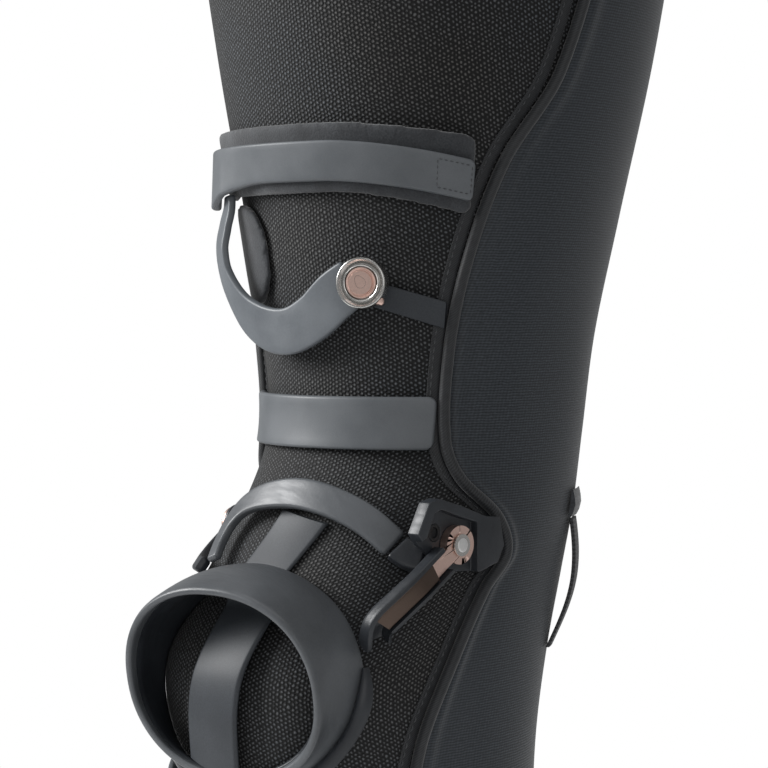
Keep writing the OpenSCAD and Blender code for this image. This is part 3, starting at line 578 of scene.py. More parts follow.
phi = spread(-50, 57, 130)
flare = 0.44 * arm_off * (np.clip(-8 - phi, 0, 16) / 16) ** 1.5
drop = 8 * (np.clip(-6 - phi, 0, 30) / 30) ** 1.5
strap_top = cuff_z + cuff_w / 2 + cuff_dip(phi)
strap_low = cuff_z - cuff_w / 2 + cuff_dip(phi) - drop
cuff_strap = band("cuff_band", phi, (strap_top + strap_low) / 2, (strap_top - strap_low) / 2,
                  cuff_in + 0 * phi, cuff_t, corner=1.1, end_r=2.5, tilt=flare)
cuff_strap.data.materials.append(silicone)
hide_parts("cuff_strap")
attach(cuff_strap, "thigh")
# The box of stitches: a line's first and last direction, and its heights there.
box = ((47, 56, 5.2, 5.2), (47, 56, -5.2, -5.2), (47, 47.1, 5.2, -5.2), (56, 56.1, 5.2, -5.2))
for k, (a, b, up, down) in enumerate(box):
    line = np.linspace(a, b, 30)
    height = cuff_z + cuff_dip(line) + np.linspace(up, down, 30)
    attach(stitches(f"cuff_box_{k}", leg(line, height, cuff_in + cuff_t - 0.05),
                     leg_out(line, height), pitch=2.1, length=1.5, thick=0.2, rise=0.22), "thigh")

# ---------------------------------------------------------------- Middle band
# A flat elastic band with rounded ends grips the front of the leg just above the knee.
band_z, band_w, band_t = 44, 20, 3.2
phi = spread(-51, 51.5, 120)
piece = band("middle_elastic", phi, band_z + 0 * phi, band_w / 2 + 0 * phi, seat + 0.2 + 0 * phi,
             band_t, corner=1.2, end_r=3.2)
piece.data.materials.append(silicone)
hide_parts("middle_band")
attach(piece, "thigh")

# ---------------------------------------------------------------- Shin cuff
# The same elastic, over a thin pad, closes the brace just below the patella ring.
def shin_top(phi):
    """Top edge of the shin cuff, higher towards the inner side."""
    return -102 + 12 * (np.clip(-phi, 0, None) / 42) ** 2


phi = spread(-43.6, 51.6, 80)
pad = band("shin_pad_foam", phi, shin_top(phi) - 11.75, 9.9 + 0 * phi, seat + 0.2 + 0 * phi, 2.6,
           corner=1.2, end_r=4)
plump(pad, 1.5, 4.0, 0.3)
pad.data.materials.clear()
pad.data.materials.append(brushed)
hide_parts("shin_cuff_pad")
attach(pad, "shin")
phi = spread(-45, 50, 110)
piece = band("shin_elastic", phi, shin_top(phi) - 9, 9 + 0 * phi, seat + 3.3 + 0 * phi, 2.4,
             corner=0.9, end_r=3)
piece.data.materials.append(silicone)
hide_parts("shin_cuff")
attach(piece, "shin")

# ---------------------------------------------------------------- Pivot strap and far pad
# A smooth black strap ties the pivot's plate back to the seam. On the far side a crescent of
# foam with a brushed skin lies behind the swing arm.
smooth_black, tree, shader = material("smooth_black_strap", Roughness=0.5, Specular_IOR_Level=0.4)
place = node(tree, "TexCoord", out=3)
grain = noise(tree, place, 1800.0, 3.0)
cloud = noise(tree, place, 60.0, 3.0)
both = times(tree, grain, cloud)
paint(tree, shader, both, (0.1, (0.026, 0.03, 0.036)), (0.5, (0.05, 0.057, 0.066)))
bump(tree, shader, 0.3, 0.0001, grain)

strap_t, pivot_phi, pivot_z = 1.8, 27.5, 96.7
phi = np.linspace(pivot_phi - 6, 53, 60)
slope = (phi - 21) / 32
high, low = 101 - 10.5 * slope - 1, 91 - 11 * slope - 0.5
piece = band("pivot_strap", phi, (high + low) / 2, (high - low) / 2, seat + 0 * phi, strap_t,
             corner=0.4, end_r=0.8)
piece.data.materials.append(smooth_black)
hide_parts("rivet_strap")
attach(piece, "thigh")

phi = spread(-36.6, -13.4, 50)
bulge = np.sqrt(np.maximum(0.06, 1 - ((phi + 25) / 12.2) ** 2))
far_pad = band("arm_pad_foam", phi, 108 + 0 * phi, 19.6 * bulge, seat + 0.1 + 0 * phi,
               1.3 + 2.6 * np.maximum(0, 1 - ((phi + 25) / 12) ** 2), corner=1.2, end_r=0.5)
plump(far_pad, 1.4, 4.0, 0.4)
far_pad.data.materials.clear()
far_pad.data.materials.append(brushed)
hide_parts("arm_pad")
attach(far_pad, "thigh")

# ---------------------------------------------------------------- Swing arm
# One moulded grey bar, rounded along its edges, curves from the pivot under the far side of
# the thigh and up behind the cuff.
def spline(rows, steps):
    """Catmull-Rom curve through rows of any width, with so many steps to each span."""
    rows = np.asarray(rows, float)
    k = np.arange((len(rows) - 1) * steps + 1)
    i = np.minimum(k // steps, len(rows) - 2)
    t = (k / steps - i)[:, None]
    a, b, c, d = (rows[np.clip(i + q, 0, len(rows) - 1)] for q in (-1, 0, 1, 2))
    return (b + t * (c - a) / 2 + t**2 * (2 * a - 5 * b + 4 * c - d) / 2
            + t**3 * (3 * b - a - 3 * c + d) / 2)


def bar(name, rows, half_t, corner, steps=14):
    """Flat bar on the leg through rows of direction, height, distance off, half width."""
    rows = spline(rows, steps)
    path = leg(rows[:, 0], rows[:, 1], rows[:, 2])
    s = np.cumsum(np.linalg.norm(np.diff(path, axis=0, prepend=path[:1]), axis=-1))
    s = np.minimum(s, s[-1] - s)
    ends = np.sqrt(np.maximum(1 - (np.clip(1.2 - s, 0, None) / 1.2) ** 2, 0.02))
    return sweep(name, path, leg_out(rows[:, 0], rows[:, 1]),
                 rounded(rows[:, 3] - 1.2 + 1.2 * ends, half_t * ends, corner, 6, 6))


def moulded(name, dark, light, rough, grain_mm=0.9):
    """Satin moulded plastic: a soft cloud in its grey, a fine spark grain and faint scuffs."""
    made, tree, shader = material(name, Roughness=rough, Specular_IOR_Level=0.45)
    place = node(tree, "TexCoord", out=3)
    cloud = noise(tree, place, 38.0, 5.0)
    grain = node(tree, "TexNoise", {"Vector": place, "Scale": 1000 / grain_mm, "Detail": 3.0})
    drawn = node(tree, "Mapping", {"Vector": place, "Rotation": (0.4, 0.3, 0.7),
                                   "Scale": (1.0, 9.0, 1.0)})
    scuff = noise(tree, drawn, 120.0, 4.0)
    both = plus(tree, cloud, grain, 0.25)
    paint(tree, shader, both, (0.42, dark), (0.78, light))
    tree.links.new(node(tree, "MapRange", {"Value": scuff, "From Min": 0.35, "From Max": 0.75,
                   "To Min": rough - 0.06, "To Max": rough + 0.1}), shader.inputs["Roughness"])
    bump(tree, shader, 0.3, 0.00012, grain)
    return made


arm_grey = moulded("arm_plastic", (0.11, 0.122, 0.136), (0.155, 0.17, 0.186), 0.4)
plate_x = seat + strap_t + 0.2
arm_x, arm_t = plate_x + 1.2, 3.0
swing_arm = bar("swing_arm_bar", [
    [24, 97.5, arm_x + 1.6, 9], [17.5, 92, arm_x + 1.9, 9.4], [9, 83.5, arm_x + 2.2, 9.2],
    [-1, 78.5, 6.8, 9], [-12, 80, 8.2, 8.5], [-22, 87, 10.5, 7.5], [-28, 99, arm_off + 2, 6.5],
    [-29, 110, arm_off + 2, 6], [-28.5, 119, arm_off - 0.6, 5.5], [-28, 126, arm_off - 3.2, 5],
    [-28, 131.5, arm_off - 4.4, 4.6]], arm_t / 2, 1.1)
swing_arm.data.materials.append(arm_grey)
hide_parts("swing_arm")
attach(swing_arm, "arm")

# ---------------------------------------------------------------- Pivot rivet
# A turned steel cup is fast on the arm's eye. A copper-tinted screw with a drop-shaped key
# hole sits inside it, on a post whose round plate is under the arm.
def metal(name, colour, rough):
    """Bright metal with fine tool marks and a thin film of wear in its roughness."""
    made, tree, shader = material(name, Metallic=1.0, Roughness=rough)
    place = node(tree, "TexCoord", out=3)
    mark = noise(tree, place, 2200.0, 3.0)
    dark = tuple(q * 0.9 for q in colour)
    paint(tree, shader, mark, (0.3, dark), (0.65, colour))
    tree.links.new(node(tree, "MapRange", {"Value": mark, "From Min": 0.3, "From Max": 0.7,
                   "To Min": rough - 0.03, "To Max": rough + 0.04}), shader.inputs["Roughness"])
    bump(tree, shader, 0.06, 0.00003, mark)
    return made


steel = metal("turned_steel", (0.62, 0.61, 0.59), 0.24)
copper = metal("copper_tint", (0.86, 0.62, 0.54), 0.34)
# Near-black for holes and sockets. In the key hole this near-black is painted shade for the
# darkness of a deep hole; the bracket sockets take the same black.
recess_black_and_shade, tree, shader = material("recess_black_and_painted_shade", Roughness=0.6)
place = node(tree, "TexCoord", out=3)
speck = noise(tree, place, 1200.0, 2.0)
paint(tree, shader, speck, (0.3, (0.006, 0.006, 0.007)), (0.7, (0.018, 0.018, 0.02)))

turn = np.radians(pivot_phi)
pivot = leg(pivot_phi, pivot_z)
pivot_ways = np.array([[np.sin(turn), -np.cos(turn), 0], [np.cos(turn), np.sin(turn), 0],
                       [0, 0, 1]])


def lathe(name, profile, steps=96, shape=None):
    """Turns a closed profile of (distance along the post, radius) round the pivot's axis."""
    profile = np.asarray(profile, float)
    a = np.radians(np.linspace(0, 360, steps + 1)[:-1])[:, None]
    x, r = profile[None, :, 0] + 0 * a, profile[None, :, 1] * (1 if shape is None else shape(a))
    local = np.stack([x, r * np.cos(a), r * np.sin(a)], -1)
    return skin(name, pivot + local @ pivot_ways, closed=True, sharp=40)


cup_x = arm_x + arm_t
cup = lathe("rivet_cup_turned", [
    [cup_x, 3.9], [cup_x, 9.2], [cup_x + 0.35, 9.6], [cup_x + 5.3, 9.6], [cup_x + 5.75, 9.4],
    [cup_x + 5.95, 9.05], [cup_x + 5.9, 8.65], [cup_x + 5.55, 8.35], [cup_x + 4.7, 7.7],
    [cup_x + 4.3, 7.3], [cup_x + 4.35, 7.0], [cup_x + 5.0, 6.85], [cup_x + 5.15, 6.6],
    [cup_x + 5.0, 6.35], [cup_x + 2.6, 6.2], [cup_x + 2.6, 3.9]])
screw_top = cup_x + 5.4
screw = lathe("rivet_screw_head", [
    [cup_x + 2.65, 0.0], [cup_x + 2.65, 5.8], [screw_top - 0.75, 5.95], [screw_top - 0.4, 5.8],
    [screw_top - 0.3, 5.3], [screw_top - 0.55, 4.95], [screw_top - 0.5, 4.6], [screw_top, 4.4],
    [screw_top, 0.0]])


def drop(a):
    """Outline of the key hole: round, and drawn out to a point at its upper left."""
    return 1 + 0.55 * np.maximum(0, np.cos(a - 2.2)) ** 5


# The key hole is not cut deep: a dish under half a millimetre deep, coloured near-black, with the
# colour as painted shade for the depth of the hole.
hole = lathe("rivet_key_hole", [
    [screw_top - 1.0, 0.0], [screw_top - 1.0, 2.0], [screw_top + 0.06, 2.0],
    [screw_top - 0.35, 1.6], [screw_top - 0.4, 0.0]], shape=drop)
post = lathe("rivet_post_plate", [
    [seat + 0.2, 0.0], [seat + 0.2, 3.4], [plate_x + 0.6, 3.4], [plate_x + 0.6, 6.2],
    [plate_x + 0.75, 6.4], [arm_x - 0.2, 6.4], [arm_x - 0.05, 6.2], [arm_x - 0.05, 3.4],
    [cup_x + 2.6, 3.4], [cup_x + 2.6, 0.0]])
tag = np.linspace(-0.95, -0.62, 9)
rim = np.array([[2.2, 9.45], [2.2, 10.9], [2.5, 11.3], [3.2, 11.2], [3.9, 9.9], [4.0, 9.45]])
reach = np.sin(np.linspace(0.35, np.pi - 0.35, 9))[:, None]
r = 9.45 + (rim[None, :, 1] - 9.45) * reach
brass_tag = skin("rivet_stop_tab", pivot + np.stack([
    cup_x + rim[None, :, 0] + 0 * r, r * np.cos(tag)[:, None], r * np.sin(tag)[:, None]],
    -1) @ pivot_ways)
for piece, finish, body, stands_for, slot in (
        (cup, steel, "arm", "rivet_cup", "steel"),
        (screw, copper, "thigh", "rivet_screw", "copper_tint"),
        (hole, recess_black_and_shade, "thigh", None, "foam"), (post, steel, "thigh", "rivet_post", "steel"),
        (brass_tag, copper, "arm", None, "copper_tint")):
    piece.data.materials.append(finish)
    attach(piece, body)
    if stands_for:
        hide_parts(stands_for)

# ---------------------------------------------------------------- Upper patella arch
# A moulded satin arch over the top of the knee cap. Darker clip-on caps tie its two ends to the
# hinges, and a strap through its window runs down under the ring.
frame_grey = moulded("frame_plastic", (0.07, 0.076, 0.083), (0.11, 0.118, 0.128), 0.38)
frame_dark = moulded("dark_frame_plastic", (0.014, 0.016, 0.02), (0.03, 0.034, 0.04), 0.4, 0.7)

arch_t = 3.4
arch = bar("patella_arch_bar", [
    [-16, -9, 7, 3], [-18.5, -2, 7, 3.2], [-18.5, 5, 7, 3.8], [-14, 11.5, 6.8, 4.6],
    [-5, 15.8, 6.4, 5.6], [8, 17.4, 6, 6.1], [21, 14.8, 5.6, 6.1], [33, 9, 5.2, 6],
    [44, 0, 5, 5.8]], arch_t / 2, 1.3)
cap_rows = {
    "lateral": [[44.9, -0.9, 5, 5.6], [49, -4, 6.3, 5.2], [53.5, -6, 7.9, 4.6]],
    "medial": [[-53, -3, 3.4, 3.4], [-44, -7.5, 3.3, 3.2], [-33, -12, 4.4, 3],
               [-20.5, -11.5, 7, 3]]}
arch.data.materials.append(frame_grey)
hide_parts("patella_arch")
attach(arch, "thigh")
for word, rows in cap_rows.items():
    cap = bar(f"arch_clip_{word}", rows, arch_t / 2 + 0.5, 1.2)
    cap.data.materials.append(frame_dark)
    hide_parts("arch_cap_" + word)
    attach(cap, "thigh")


def front(x, z, d):
    """Front of the leg at a sideways place x: y = yc - (b + d) (1 - |x / (a + d)|^n)^(1/n)."""
    yc, a, b, _, n = along(leg_rows, z)
    u = np.minimum(0.97, np.abs(x) / (a + d))
    return np.stack([x + 0 * z, yc - (b + d) * (1 - u**n) ** (1 / n), z + 0 * x], -1)


x, t = np.linspace(-12, 12, 41)[:, None], np.linspace(0, 1, 40)[None]
z = -15 + (11 - 0.18 * (x + 12) + 15) * t
edge = np.clip((12 - np.abs(x)) / 1.0, 0, 1)
thick = 1.8 * np.sqrt(np.maximum(0.05, 1 - (1 - edge) ** 2))
upper = front(x + 9 + 0.35 * z, z, 1.5 + thick / 2)
lower = front(x + 9 + 0.35 * z, z, 1.5 - thick / 2)
strap = skin("arch_window_strap", np.concatenate([upper, lower[:, ::-1]], 1))
strap.data.materials.append(smooth_black)
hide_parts("arch_strap")
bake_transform(strap)

# ---------------------------------------------------------------- Patella ring
# One moulded ring stands on the knee round its cap. Its wall bulges between an oval base and a
# rim that leans out and down, with a dark liner inside and a second lip round its lower side.
half_w, ring_drop, ring_x, ring_base_h, rim_w, rim_h, ring_t = 59, 51, 6.5, 43, 44, 38, 3.2
ring_base_w = half_w - 12.5
lean = np.radians(12)
rim_right = np.array([np.cos(lean), np.sin(lean), 0])
rim_out = np.array([np.sin(lean) * np.cos(lean), -np.cos(lean) ** 2, -np.sin(lean)])
rim_up = -np.cross(rim_right, rim_out)
rim_centre = np.array([12, front(0.0, np.array(-51.0), 7.0)[1], -ring_drop])


def oval(a, w, h, n):
    """Radius of a squared oval at angle a."""
    return (np.abs(np.cos(a) / w) ** n + np.abs(np.sin(a) / h) ** n) ** (-1 / n)


def wall(a, s, grow):
    """Point of the ring's wall at angle a round it, s from base to rim, grow outside it: a mix
    of the oval on the knee and the leaning rim, pushed out by (3 cos(a - 115) - 0.2) sin(180 s)."""
    a, s, grow = np.broadcast_arrays(np.radians(a), s, grow)
    r = oval(a, ring_base_w, ring_base_h, 2) + grow
    base = front(ring_x + r * np.cos(a), r * np.sin(a) - ring_drop,
                 seat + 0.3 + 4.6 * np.maximum(0, np.sin(a)) ** 8)
    r = oval(a, rim_w, rim_h, 2.2) + grow
    rim = rim_centre + (r * np.cos(a))[..., None] * rim_right + (r * np.sin(a))[..., None] * rim_up
    push = (3 * np.cos(a - np.radians(115)) - 0.2) * np.sin(np.pi * s)
    flat = np.stack([np.cos(a), 0 * a, np.sin(a)], -1)
    return base + (rim - base) * s[..., None] + push[..., None] * flat


a = np.linspace(0, 360, 193)[:-1][:, None]
s = np.linspace(0, 1, 15)
ease = np.concatenate([[0.0, 0.012, 0.04], s[1:-1], [0.965, 0.99, 1.0]])
drawn = np.concatenate([[-0.9, -0.35, -0.05], 0 * s[1:-1], [-0.12, -0.5, -1.1]])
outer = wall(a, ease[None], drawn[None])
inner = wall(a, ease[None, ::-1], (-ring_t - drawn)[None, ::-1])
ring = skin("patella_ring_wall", np.concatenate([outer, inner], 1), closed=True)
ring.data.materials.append(frame_grey)
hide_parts("patella_ring")
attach(ring, "shin")

a = np.linspace(0, 360, 193)[:-1][:, None]
s = np.linspace(-0.05, 0.82, 14)[None]
soft = np.sqrt(np.maximum(0.03, 1 - np.abs(2 * (s + 0.05) / 0.87 - 1) ** 8))
liner_t = (0.5 + 0.6 * np.maximum(0, -np.cos(np.radians(a)))) * soft
ledge = 3.4 * np.maximum(0, np.sin(np.radians(a - 6))) ** 3 * np.exp(-((s - 0.5) / 0.13) ** 2)
face, back = wall(a, s, -ring_t - 0.1 - liner_t - ledge), wall(a, s, -ring_t + 0.15 + 0 * a)
liner = skin("ring_liner", np.concatenate([face, back[:, ::-1]], 1), closed=True)
liner.data.materials.append(frame_dark)
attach(liner, "shin")

a = np.linspace(-192, 10, 150)
q = np.array([[0.02, 0.5], [0.12, 0.75], [0.2, 1.0], [0.235, 1.5], [0.25, 2.4], [0.24, 3.2],
              [0.2, 4.2], [0.13, 4.85], [0.06, 5.0], [0.025, 4.7], [0.02, 4.0], [0.02, 2.4]])
taper = (np.sin(np.clip((a + 192) / 25, 0, 1) * np.pi / 2)
         * np.sin(np.clip((10 - a) / 18, 0, 1) * np.pi / 2))
q = q[None] * np.stack([0.35 + 0.65 * taper, 0.4 + 0.6 * taper], -1)[:, None]
flat = np.stack([np.cos(np.radians(a)), 0 * a, np.sin(np.radians(a))], -1)[:, None]
rings = wall(a[:, None], q[..., 0], 0.0) + q[..., 1:] * flat
flange = skin("ring_lower_lip", rings)
flange.data.materials.append(frame_dark)
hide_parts("ring_flange")
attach(flange, "shin")

strap_w = 25


def sag(x, xc):
    """How far the ring's edge falls away sideways of the strap's middle."""
    return 1.15 * ring_base_h * (1 - (1 - np.minimum(0.9, np.abs(x - xc) / rim_w) ** 2) ** 0.5)


low, high = wall(-90.0, 0.55, -ring_t - 0.6), wall(90.0, 0.55, -ring_t - 0.6)
t = np.linspace(0, 1, 90)[None]
flare = 1 + 0.45 * np.clip((t - 0.86) / 0.14, 0, 1) ** 2
x = np.linspace(-1, 1, 41)[:, None] * strap_w / 2
x = np.where(x < 0, x * flare, x + 0 * t)
z = low[2] + sag(x + 3, low[0]) + (high[2] - sag(x + 12, high[0]) - low[2] - sag(x + 3, low[0])) * t
k = np.maximum(0, np.abs(2 * t - 1) * 3 - 2) ** 2
edge = np.clip((strap_w / 2 - np.abs(x)) / 1.1, 0, 1)
half = 1.1 * np.sqrt(np.maximum(0.04, 1 - (1 - edge) ** 2))
faces = []
for d in (half, -half):
    p = front(x + 3 + 9 * t, z, 5.2 + d)
    y = low[1] + (high[1] - low[1]) * t - d
    y = np.minimum(p[..., 1], p[..., 1] + (y - p[..., 1]) * k)
    faces.append(np.stack([p[..., 0], y, z], -1))
strap = skin("patella_strap_plate", np.concatenate([faces[0], faces[1][:, ::-1]], 1))
strap.data.materials.append(smooth_black)
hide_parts("patella_strap")
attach(strap, "shin")

# ---------------------------------------------------------------- Hinge brackets
# Each side has a dark moulded bracket with a raised border round a deep pocket, a foam pad
# behind it, a black socket in the pocket and a steel pin with a pale domed head.
foam, tree, shader = material("closed_cell_foam", Roughness=0.85)
place = node(tree, "TexCoord", out=3)
cell = node(tree, "TexVoronoi", {"Vector": place, "Scale": 1500.0})
paint(tree, shader, cell, (0.0, (0.008, 0.008, 0.009)), (0.8, (0.026, 0.027, 0.03)))
bump(tree, shader, 0.6, 0.0002, cell)
pale_steel = metal("pale_pin_steel", (0.9, 0.9, 0.89), 0.42)


def softened(name, stands_for, finish, body, width, segments=3):
    """A merged copy of a CAD part with its hard edges rounded to this width."""
    piece = bpy.data.objects.new(name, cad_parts[stands_for].data.copy())
    bpy.context.scene.collection.objects.link(piece)
    work = bmesh.new()
    work.from_mesh(piece.data)
    bmesh.ops.remove_doubles(work, verts=work.verts, dist=2e-6)
    bmesh.ops.dissolve_limit(work, angle_limit=np.radians(1), verts=work.verts, edges=work.edges)
    hard = [e for e in work.edges
            if len(e.link_faces) == 2 and e.calc_face_angle(0) > np.radians(28)]
    bmesh.ops.bevel(work, geom=hard, offset=width / 1000, segments=segments, profile=0.5,
                    affect="EDGES", clamp_overlap=True)
    bmesh.ops.triangulate(work, faces=[f for f in work.faces if len(f.verts) > 4])
    work.to_mesh(piece.data)
    work.free()
    piece.data.polygons.foreach_set("use_smooth", np.ones(len(piece.data.polygons), bool))
    piece.data.set_sharp_from_angle(angle=np.radians(35))
    piece.data.materials.clear()
    piece.data.materials.append(finish)
    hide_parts(stands_for)
    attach(piece, body)
    return piece


# The inner side, -1, is slimmer and closer to the leg than the outer side, 1.
bracket_x, inner_pin = {1: half_w + 1.3, -1: half_w - 2.7}, 0.85
knuckle_x = {1: bracket_x[1] + 2.5, -1: bracket_x[-1] + 1.95}
pin_end = {1: knuckle_x[1] + 3.8, -1: knuckle_x[-1] + 2.575}
for word in ("lateral", "medial"):
    softened("bracket_" + word, "hinge_bracket_" + word, frame_dark, "thigh", 0.55)
    softened("pad_behind_" + word, "bracket_pad_" + word, foam, "thigh", 0.4)
    softened("socket_" + word, "hinge_socket_" + word, recess_black_and_shade, "thigh", 0.25)


def turned_x(name, side, profile, steps=72):
    """Turns a profile of (distance along X, radius) round the hinge's axis."""
    profile = np.asarray(profile, float)
    a = np.radians(np.linspace(0, 360, steps + 1)[:-1])[:, None]
    x, r = profile[None, :, 0] + 0 * a, profile[None, :, 1]
    return skin(name, np.stack([side * x, r * np.cos(a), r * np.sin(a)], -1), closed=True, sharp=40)


for side, word in ((1, "lateral"), (-1, "medial")):
    back_x, end, r = bracket_x[side] + 0.1, pin_end[side], 1 if side > 0 else inner_pin
    pin = turned_x("pin_" + word, side, [
        [back_x, 0.0], [back_x, 2.9], [end, 2.9], [end, 3.9 * r], [end + 0.3, 4.2 * r],
        [end + 0.75, 4.1 * r], [end + 0.85, 3.2 * r], [end + 0.85, 0.0]])
    pin.data.materials.append(steel)
    dome = turned_x("pin_dome_" + word, side, [
        [end + 0.5, 0.0], [end + 0.5, 2.6], [end + 1.0, 2.6], [end + 1.15, 2.3],
        [end + 1.2, 1.4], [end + 1.2, 0.0]])
    dome.data.materials.append(pale_steel)
    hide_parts("hinge_pin_" + word)
    for piece in (pin, dome):
        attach(piece, "thigh")

# ---------------------------------------------------------------- Links
# A channel-shaped dark link runs from each knuckle to the ring, with a bronze bar laid in its
# open face. The knuckle is a copper-tinted stamped plate on the hinge pin.
link_dir = np.array([0, -48.2, -31.6]) / np.hypot(48.2, 31.6)
link_w, link_wall, link_in, medial_in = 11.5, 1.5, knuckle_x[1] + 2.6, 60.05
start = np.array([link_in, 0, 0])
mirror = np.array([-1, 1, 1])
medial_start, medial_dir = np.array([medial_in, 0, 0]), np.array([0, -0.35, -1]) / np.hypot(0.35, 1)
link_rows = {
    "lateral": [[*(start + link_dir * 9), 2.6], [*(start + link_dir * 18), 2.6],
                [*(start + link_dir * 25), 2.6], [link_in - 3.2, -28.5, -20.5, 2.8],
                [link_in - 7.6, -34, -27.5, 3], [*wall(20.0, 0.12, 3.7), 3]],
    "medial": [[*(medial_start + medial_dir * 9), 1.8], [*(medial_start + medial_dir * 17), 1.8],
               [medial_in - 0.4, -12.5, -25.5, 1.8], [medial_in - 2, -22, -32, 1.8],
               [medial_in - 4.5, -33, -36.5, 1.8], [*(wall(157.0, 0.12, 4.0) * mirror), 1.8]]}
bronze = metal("bronze_bar", (0.115, 0.085, 0.07), 0.34)
for word, rows in link_rows.items():
    side = 1 if word == "lateral" else -1
    rows = spline(rows, 12)
    path, h = rows[:, :3], rows[:, 3:4]
    lean_out = np.stack([1 + 0 * h[:, 0], -0.4 * np.clip(np.linspace(0, 1, len(h)) - 0.5, 0, None),
                         0 * h[:, 0]], -1)
    _, across, out = frames(path, lean_out)
    w, t, r = (link_w / 2, link_wall, 0.45) if side > 0 else (link_w * 0.35, link_wall * 0.8, 0.35)
    # Channel section: both flanges with rounded lips and the back, then the inside again.
    outside = np.array([
        [t - w + 0.25, 1, 0], [-w + r, 1, 0], [-w, 1, -r], [-w, 0.3, 0], [-w, -0.4, 0], [-w, -1, r],
        [-w + r, -1, 0], [-w / 3, -1, 0], [w / 3, -1, 0], [w - r, -1, 0], [w, -1, r], [w, -0.4, 0],
        [w, 0.3, 0], [w, 1, -r], [w - r, 1, 0], [w - t - 0.25, 1, 0]])
    inside = np.array([[w - t, 1, -0.25], [w - t, 0.7, 0], [w - t, 0.3, 0], [w - t, -0.4, 0],
                       [w - t, -1, t + 0.3], [w - t - 0.3, -1, t], [w / 4, -1, t], [w / 8, -1, t],
                       [-w / 8, -1, t], [-w / 4, -1, t], [t - w + 0.3, -1, t], [t - w, -1, t + 0.3],
                       [t - w, -0.4, 0], [t - w, 0.3, 0], [t - w, 0.7, 0], [t - w, 1, -0.25]])
    shape = np.concatenate([outside, inside])
    sec = np.stack([shape[None, :, 0] + 0 * h, shape[None, :, 1] * h + shape[None, :, 2]], -1)
    rings = path[:, None] + across[:, None] * sec[..., :1] + out[:, None] * sec[..., 1:]
    rings = rings * [side, 1, 1]
    arm = skin("link_channel_" + word, rings, sharp=60)
    arm.data.materials.append(frame_dark)
    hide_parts("link_arm_" + word)
    half = w - t - 0.7
    stop = len(path) - (14 if side > 0 else 26)
    top, low_edge = h[10:stop] - 0.8, t - h[10:stop] + 0.3
    sec = rounded(half + 0 * top, (top - low_edge) / 2, 0.5, 4, 4)
    sec = sec + np.stack([0 * top, (top + low_edge) / 2], -1)
    rings = (path[10:stop, None] + across[10:stop, None] * sec[..., :1]
             + out[10:stop, None] * sec[..., 1:]) * [side, 1, 1]
    rod = skin("link_bar_" + word, rings)
    rod.data.materials.append(bronze)
    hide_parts("link_rod_" + word)
    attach(arm, "shin")
    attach(rod, "shin")
    softened("knuckle_plate_" + word, "knuckle_" + word, copper, "shin", 0.45)

# ---------------------------------------------------------------- Behind the knee
# A thin ribbed insert covers the crease, a webbing pull loop bows off the cloth beside it, and
# a small folded tab is sewn above the loop.
webbing, tree, shader = material("ribbed_webbing", Roughness=0.62, Sheen_Weight=0.2)
place, flat = cloth_place(tree, 0.0003, 400)
rib = wave(tree, place, (2 * np.pi / 0.0018, 0, 0))
rib = node(tree, "MapRange", {"Value": rib, "From Min": -1.0, "From Max": 1.0})
yarn = noise(tree, flat, 900.0, 2.0)
rib = times(tree, rib, yarn)
paint(tree, shader, rib, (0.05, (0.005, 0.0055, 0.0065)), (0.55, (0.036, 0.039, 0.044)))
bump(tree, shader, 0.8, 0.0004, rib)

phi = np.linspace(158.5, 201.5, 70)
tall = 56 * np.sqrt(np.maximum(0.1, 1 - ((phi - 180) / 23) ** 2)) - 0.5
section = rounded(tall, 0.7 + 0 * tall, 0.6, 5, 80)
z = -20 + section[..., 0]
ribs = 0.18 * np.sin(section[..., 0] * 2 * np.pi / 3.0) * (section[..., 1] > 0)
rings = leg(phi[:, None], z, lip(phi[:, None], z) + 0.9 + section[..., 1] + ribs)
insert = skin("knee_crease_insert", rings)
z = np.linspace(-47, 3, 70)
t = (z + 47) / 50
bow = 0.6 + seat + 5.2 * np.sin(np.pi * t) + 0.9
loop = rounded(7.2 + 0 * z, 0.75, 0.5, 5, 8)
turn_per_mm = np.degrees(1 / 74)
rings = leg(141 - loop[..., 0] * turn_per_mm, z[:, None] + 0 * loop[..., 0],
            bow[:, None] + loop[..., 1])
pull_loop = skin("pull_loop_webbing", rings)
phi = np.linspace(131.5, 145.5, 24)[:, None]
profile = np.array([[4.2, 2.3], [6, 3.0], [9, 3.3], [12, 2.6], [14.8, 1.6], [14.9, 1.2], [13, 1.15],
                    [11, 1.15], [9, 1.15], [4.2, 1.15]])
rings = leg(phi, profile[None, :, 0] + 0 * phi, 0.6 + profile[None, :, 1] + 0 * phi)
pull_tab = skin("pull_tab_fold", rings)
for piece, finish, slot, stands_for in ((insert, webbing, "piping", "popliteal_insert"),
                                        (pull_loop, webbing, "piping", "pull_loop"),
                                        (pull_tab, brushed, "pad", "pull_tab")):
    piece.data.materials.append(finish)
    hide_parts(stands_for)
    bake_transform(piece)

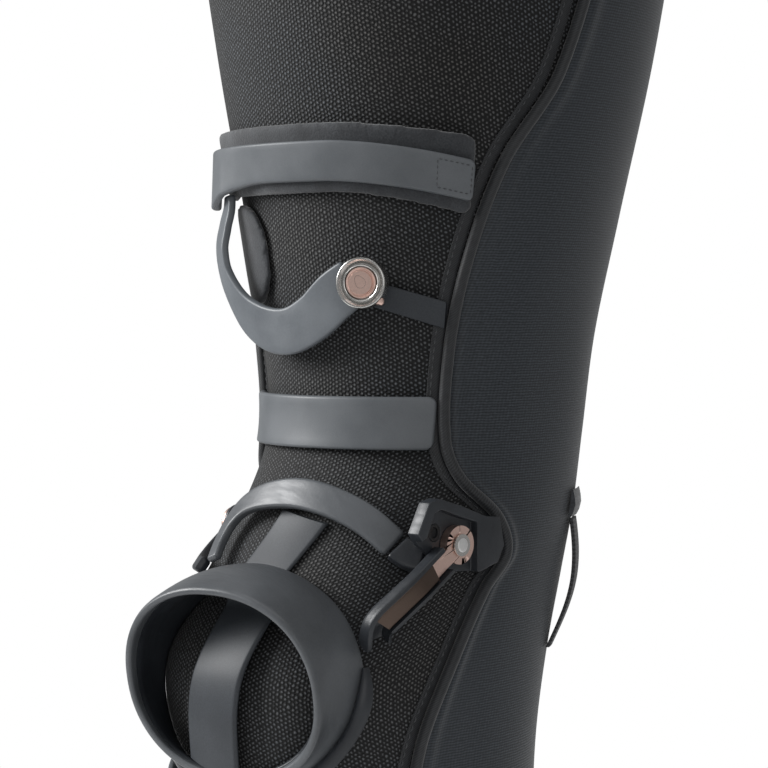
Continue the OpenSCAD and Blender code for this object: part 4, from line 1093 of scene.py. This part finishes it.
# ---------------------------------------------------------------- Studio
# A plain pale floor under the calf hem, three soft panels of light, and the camera.
floor = bpy.data.meshes.new("floor")
floor_r, floor_z, corners = 0.52, -0.2155, 96
turns = np.arange(corners) * 2 * np.pi / corners
floor.from_pydata([(floor_r * np.cos(a), floor_r * np.sin(a), floor_z) for a in turns], [],
                  [range(corners)])
floor = bpy.data.objects.new("floor", floor)
bpy.context.scene.collection.objects.link(floor)
pale, tree, shader = material("pale_floor", Roughness=0.8)
place = node(tree, "TexCoord", out=3)
cloud = noise(tree, place, 3.0, 2.0)
paint(tree, shader, cloud, (0.3, (0.86, 0.86, 0.86)), (0.7, (0.9, 0.9, 0.9)))
floor.data.materials.append(pale)
floor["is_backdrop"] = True

world = bpy.data.worlds.new("studio")
world.use_nodes = True
seen = node(world.node_tree, "LightPath")
sky_light = 0.3  # the camera sees plain white, and the object gets this share of it
strength = node(world.node_tree, "MapRange", {"Value": seen, "To Min": sky_light, "To Max": 1.0})
world.node_tree.nodes["Background"].inputs["Color"].default_value = (1, 1, 1, 1)
world.node_tree.links.new(strength, world.node_tree.nodes["Background"].inputs["Strength"])
bpy.context.scene.world = world
bpy.context.scene.view_settings.view_transform = "Standard"


def light(name, place, aim, size, power):
    """Soft square panel of light at a place, turned to its aim."""
    lamp = bpy.data.lights.new(name, "AREA")
    lamp.size, lamp.energy = size, power
    made = bpy.data.objects.new(name, lamp)
    made.location = place
    away = np.array(aim) - np.array(place)
    made.rotation_euler = Vector(away).to_track_quat("-Z", "Y").to_euler()
    bpy.context.scene.collection.objects.link(made)


light("key", (-1.2, -1.1, 0.8), (0, 0, 0.03), 0.9, 40)
light("fill", (1.4, -0.9, 0.5), (0, 0, 0.03), 1.2, 4)
light("top", (0.1, 0.2, 1.7), (0, 0, 0), 1.2, 6)

lens = bpy.data.cameras.new("camera")
lens.lens, lens.sensor_width = 108.4, 36
camera = bpy.data.objects.new("camera", lens)
back = np.array([0.7067, -0.7067, 0.0349])  # from the aim to the camera
aim, distance = np.array([0.01175, 0.0146, 0.05774]), 0.9
camera.location = aim + distance * back
camera.rotation_euler = Vector(-back).to_track_quat("-Z", "Y").to_euler()
bpy.context.scene.collection.objects.link(camera)
bpy.context.scene.camera = camera

low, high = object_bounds()
